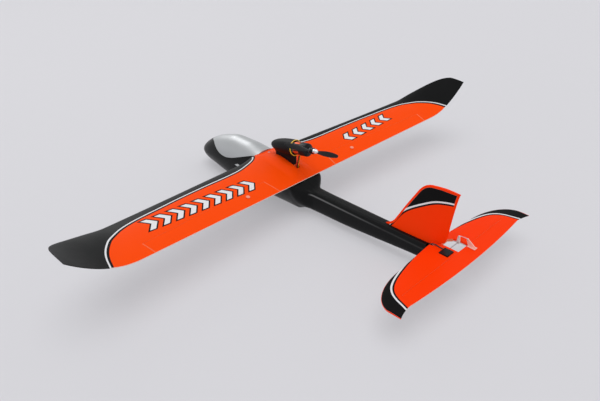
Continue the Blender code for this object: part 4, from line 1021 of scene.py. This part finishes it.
def make_nacelle_skins(mats, at):
    length = NACELLE_NOSE - NACELLE_RIM
    outer = []
    for i in range(41):
        t = math.sin(math.pi / 2 * i / 40)
        radius = NACELLE_RADIUS * math.sqrt(max(0.0, 1 - t ** 2.3)) * (1 - 0.04 * (1 - t) ** 2)
        outer.append((radius if i < 40 else 0.0, -(NACELLE_RIM + length * t)))
    inner = NACELLE_RADIUS - 0.0022
    shell = turned("skin_nacelle", [(0.0, -0.0560), (inner - 0.002, -0.0560), (inner, -0.0540),
                                    (inner, -NACELLE_RIM)] + outer, at)
    carve(shell, [])
    put(shell, "airframe", "black_plastic", mats["matt"], nodes=("motor_nacelle",))

    ring_in, ring_out = inner + 0.0002, NACELLE_RADIUS - 0.0004
    low, high = -NACELLE_RIM + GAP, -NACELLE_RIM + 0.0018
    ring = turned("skin_ring", [(ring_out, high - 0.0004), (ring_out, low), (ring_in, low),
                                (ring_in, high), (ring_out - 0.0004, high)], at)
    carve(ring, [])
    put(ring, "airframe", "yellow_plastic", mats["yellow"], nodes=("nacelle_ring",))


def make_motor_skins(mats, at):
    back, split, rim = -0.0090, -0.0300, MOTOR_RADIUS
    bell = turned("skin_bell", [(0.0018, back), (0.0045, back), (0.0090, back - 0.0010),
                                (rim - 0.0014, back - 0.0026), (rim - 0.0004, back - 0.0034),
                                (rim, back - 0.0045), (rim, split + 0.0010),
                                (rim - 0.001, split), (0.0018, split)], at)
    carve(bell, [])
    put(bell, "rotor", "black_plastic", mats["plastic"], nodes=("motor_bell",))

    base = turned("skin_stator", [(0.0019, split - GAP), (rim - 0.002, split - GAP),
                                  (rim - 0.0006, split - 0.0012), (rim, split - 0.0025),
                                  (rim, -0.0440), (rim - 0.003, -0.0460),
                                  (rim - 0.003, -0.0557), (0.0019, -0.0557)], at)
    carve(base, [])
    put(base, "airframe", "aluminium", mats["stator"], nodes=("motor_base",))


def make_propeller_skin(mats, at):
    fine = refine(BLADE_ROWS, 0.02)
    sections = []
    for way in (1, -1):
        for share, chord in (fine[::-1] if way > 0 else fine):
            reach = PROP_RADIUS * share
            twist = way * math.atan(0.022 / max(reach, 0.012))
            ring = []
            for i in range(28):
                angle = math.tau * i / 28
                u = chord / 2 * math.cos(angle)
                v = (0.0011 if chord > 0.005 else 0.0008) * math.sin(angle)
                ring.append((way * reach, u * math.cos(twist) - v * math.sin(twist),
                             u * math.sin(twist) + v * math.cos(twist)))
            sections.append(ring)
    blades = loft("skin_propeller", sections)
    blades.data.transform(at @ Matrix.Rotation(PROP_BLADE_ANGLE, 4, "Z"))
    hub = tool(cylinder("add_hub", (0, 0, -0.0035), (0, 0, 0.0035), 0.0065, 64))
    hub.matrix_world = at
    bore = tool(cylinder("cut_bore", (0, 0, -0.01), (0, 0, 0.01), 0.0026, 32))
    bore.matrix_world = at
    carve(blades, [(hub, "UNION"), (bore, "DIFFERENCE")], 40.0)
    put(blades, "rotor", "black_plastic", mats["plastic"], nodes=("propeller",))


# ---------------------------------------------------------------- the rest

def dress_nodes(mats):
    """Finishes on the CAD nodes that are shown as they are."""
    looks = {
        "motor_pylon": "matt", "motor_shaft": "steel", "prop_collet": "aluminium",
        "prop_nut": "aluminium", "wing_screw": "steel", "wing_joiner_tube": "carbon",
        "motor_wire_black": "wire_black", "motor_wire_yellow": "wire_yellow",
        "motor_wire_red": "wire_red", "elevator_horn": "tail_horn", "elevator_servo": "plastic",
        "elevator_cross_shaft": "steel", "elevator_arm": "white", "elevator_pushrod": "steel",
        "elevator_servo_lead": "wire_black", "equipment_tray": "wood", "battery": "wrap",
        "battery_pad": "felt", "battery_plug": "yellow", "battery_lead": "wire_red",
        "controller_lead": "wire_black", "speed_controller": "shrink", "receiver": "plastic",
    }
    for word in ("left", "right"):
        looks["aileron_horn_" + word] = "white"
        looks["aileron_horn_plate_" + word] = "plate"
        looks["aileron_servo_" + word] = "plastic"
        looks["aileron_servo_arm_" + word] = "white"
        looks["aileron_pushrod_" + word] = "steel"
    for name, look in looks.items():
        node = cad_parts[name]
        while len(node.material_slots) < 1:
            node.data.materials.append(None)
        for slot in node.material_slots:
            slot.link = "OBJECT"
            slot.material = mats[look]


def make_stage():
    shade = Shade("studio_floor", (0.36, 0.358, 0.372), 0.9, Emission_Strength=FLOOR_GLOW,
                  Emission_Color=(0.965, 0.955, 1.0, 1.0))
    shade.set("Base Color", shade.mix(shade.noise(1.6, 2.0), (0.357, 0.354, 0.371),
                                      (0.363, 0.360, 0.377)))
    shade.set("Roughness", shade.span(shade.noise(40.0), 0.85, 0.95))
    bm = bmesh.new()
    bmesh.ops.create_grid(bm, x_segments=1, y_segments=1, size=9.0)
    floor = from_bmesh("studio_floor", bm)
    floor.location = (0.0, 0.0, -0.0002)
    floor.data.materials.append(shade.mat)


def make_light():
    world = bpy.data.worlds.new("studio")
    bpy.context.scene.world = world
    world.use_nodes = True
    background = world.node_tree.nodes["Background"]
    background.inputs["Color"].default_value = (0.98, 0.99, 1.0, 1.0)
    background.inputs["Strength"].default_value = 0.52
    tree = world.node_tree
    split = tree.nodes.new("ShaderNodeSeparateXYZ")
    ramp = tree.nodes.new("ShaderNodeMapRange")
    tree.links.new(tree.nodes.new("ShaderNodeTexCoord").outputs["Generated"], split.inputs[0])
    tree.links.new(split.outputs["Z"], ramp.inputs["Value"])
    for key, value in (("From Min", 0.10), ("From Max", 0.75), ("To Min", 0.95),
                       ("To Max", 0.52)):
        ramp.inputs[key].default_value = value
    tree.links.new(ramp.outputs["Result"], background.inputs["Strength"])

    def add(name, kind, place, target, energy, **settings):
        data = bpy.data.lights.new(name, kind)
        data.energy = energy
        for key, value in settings.items():
            setattr(data, key, value)
        lamp = bpy.data.objects.new(name, data)
        bpy.context.scene.collection.objects.link(lamp)
        lamp.location = place
        aim = Vector(target) - Vector(place)
        lamp.rotation_euler = aim.to_track_quat("-Z", "Y").to_euler()
        return lamp

    add("key", "SUN", (0.35, 0.1, 3.0), (0.0, 0.0, 0.0), 1.22, angle=math.radians(60.0))
    strip = add("strip", "AREA", (-0.40, -2.35, 1.80), (0.0, -0.22, 0.08), 24.0,
                shape="RECTANGLE", size=1.2, size_y=1.0)
    strip.visible_diffuse = False


def make_camera():
    data = bpy.data.cameras.new("camera")
    data.lens = CAMERA_LENS
    data.sensor_width = 36.0
    camera = bpy.data.objects.new("camera", data)
    camera.location = CAMERA_PLACE
    camera.rotation_euler = (math.pi / 2 - CAMERA_DOWN, 0.0, CAMERA_TURN)
    bpy.context.scene.collection.objects.link(camera)
    bpy.context.scene.camera = camera


def main():
    mats = make_materials()
    cutters = make_cutters()
    make_wing_skins(mats, cutters)
    make_fuselage_skins(mats, cutters)
    make_tail_skins(mats)
    make_fin_skin(mats)
    at = thrust_frame()
    make_nacelle_skins(mats, at)
    make_motor_skins(mats, at)
    make_propeller_skin(mats, at)
    dress_nodes(mats)
    for obj in tools:
        bpy.data.objects.remove(obj, do_unlink=True)
    make_stage()
    make_light()
    make_camera()
    bpy.context.scene.view_settings.view_transform = "Standard"


main()
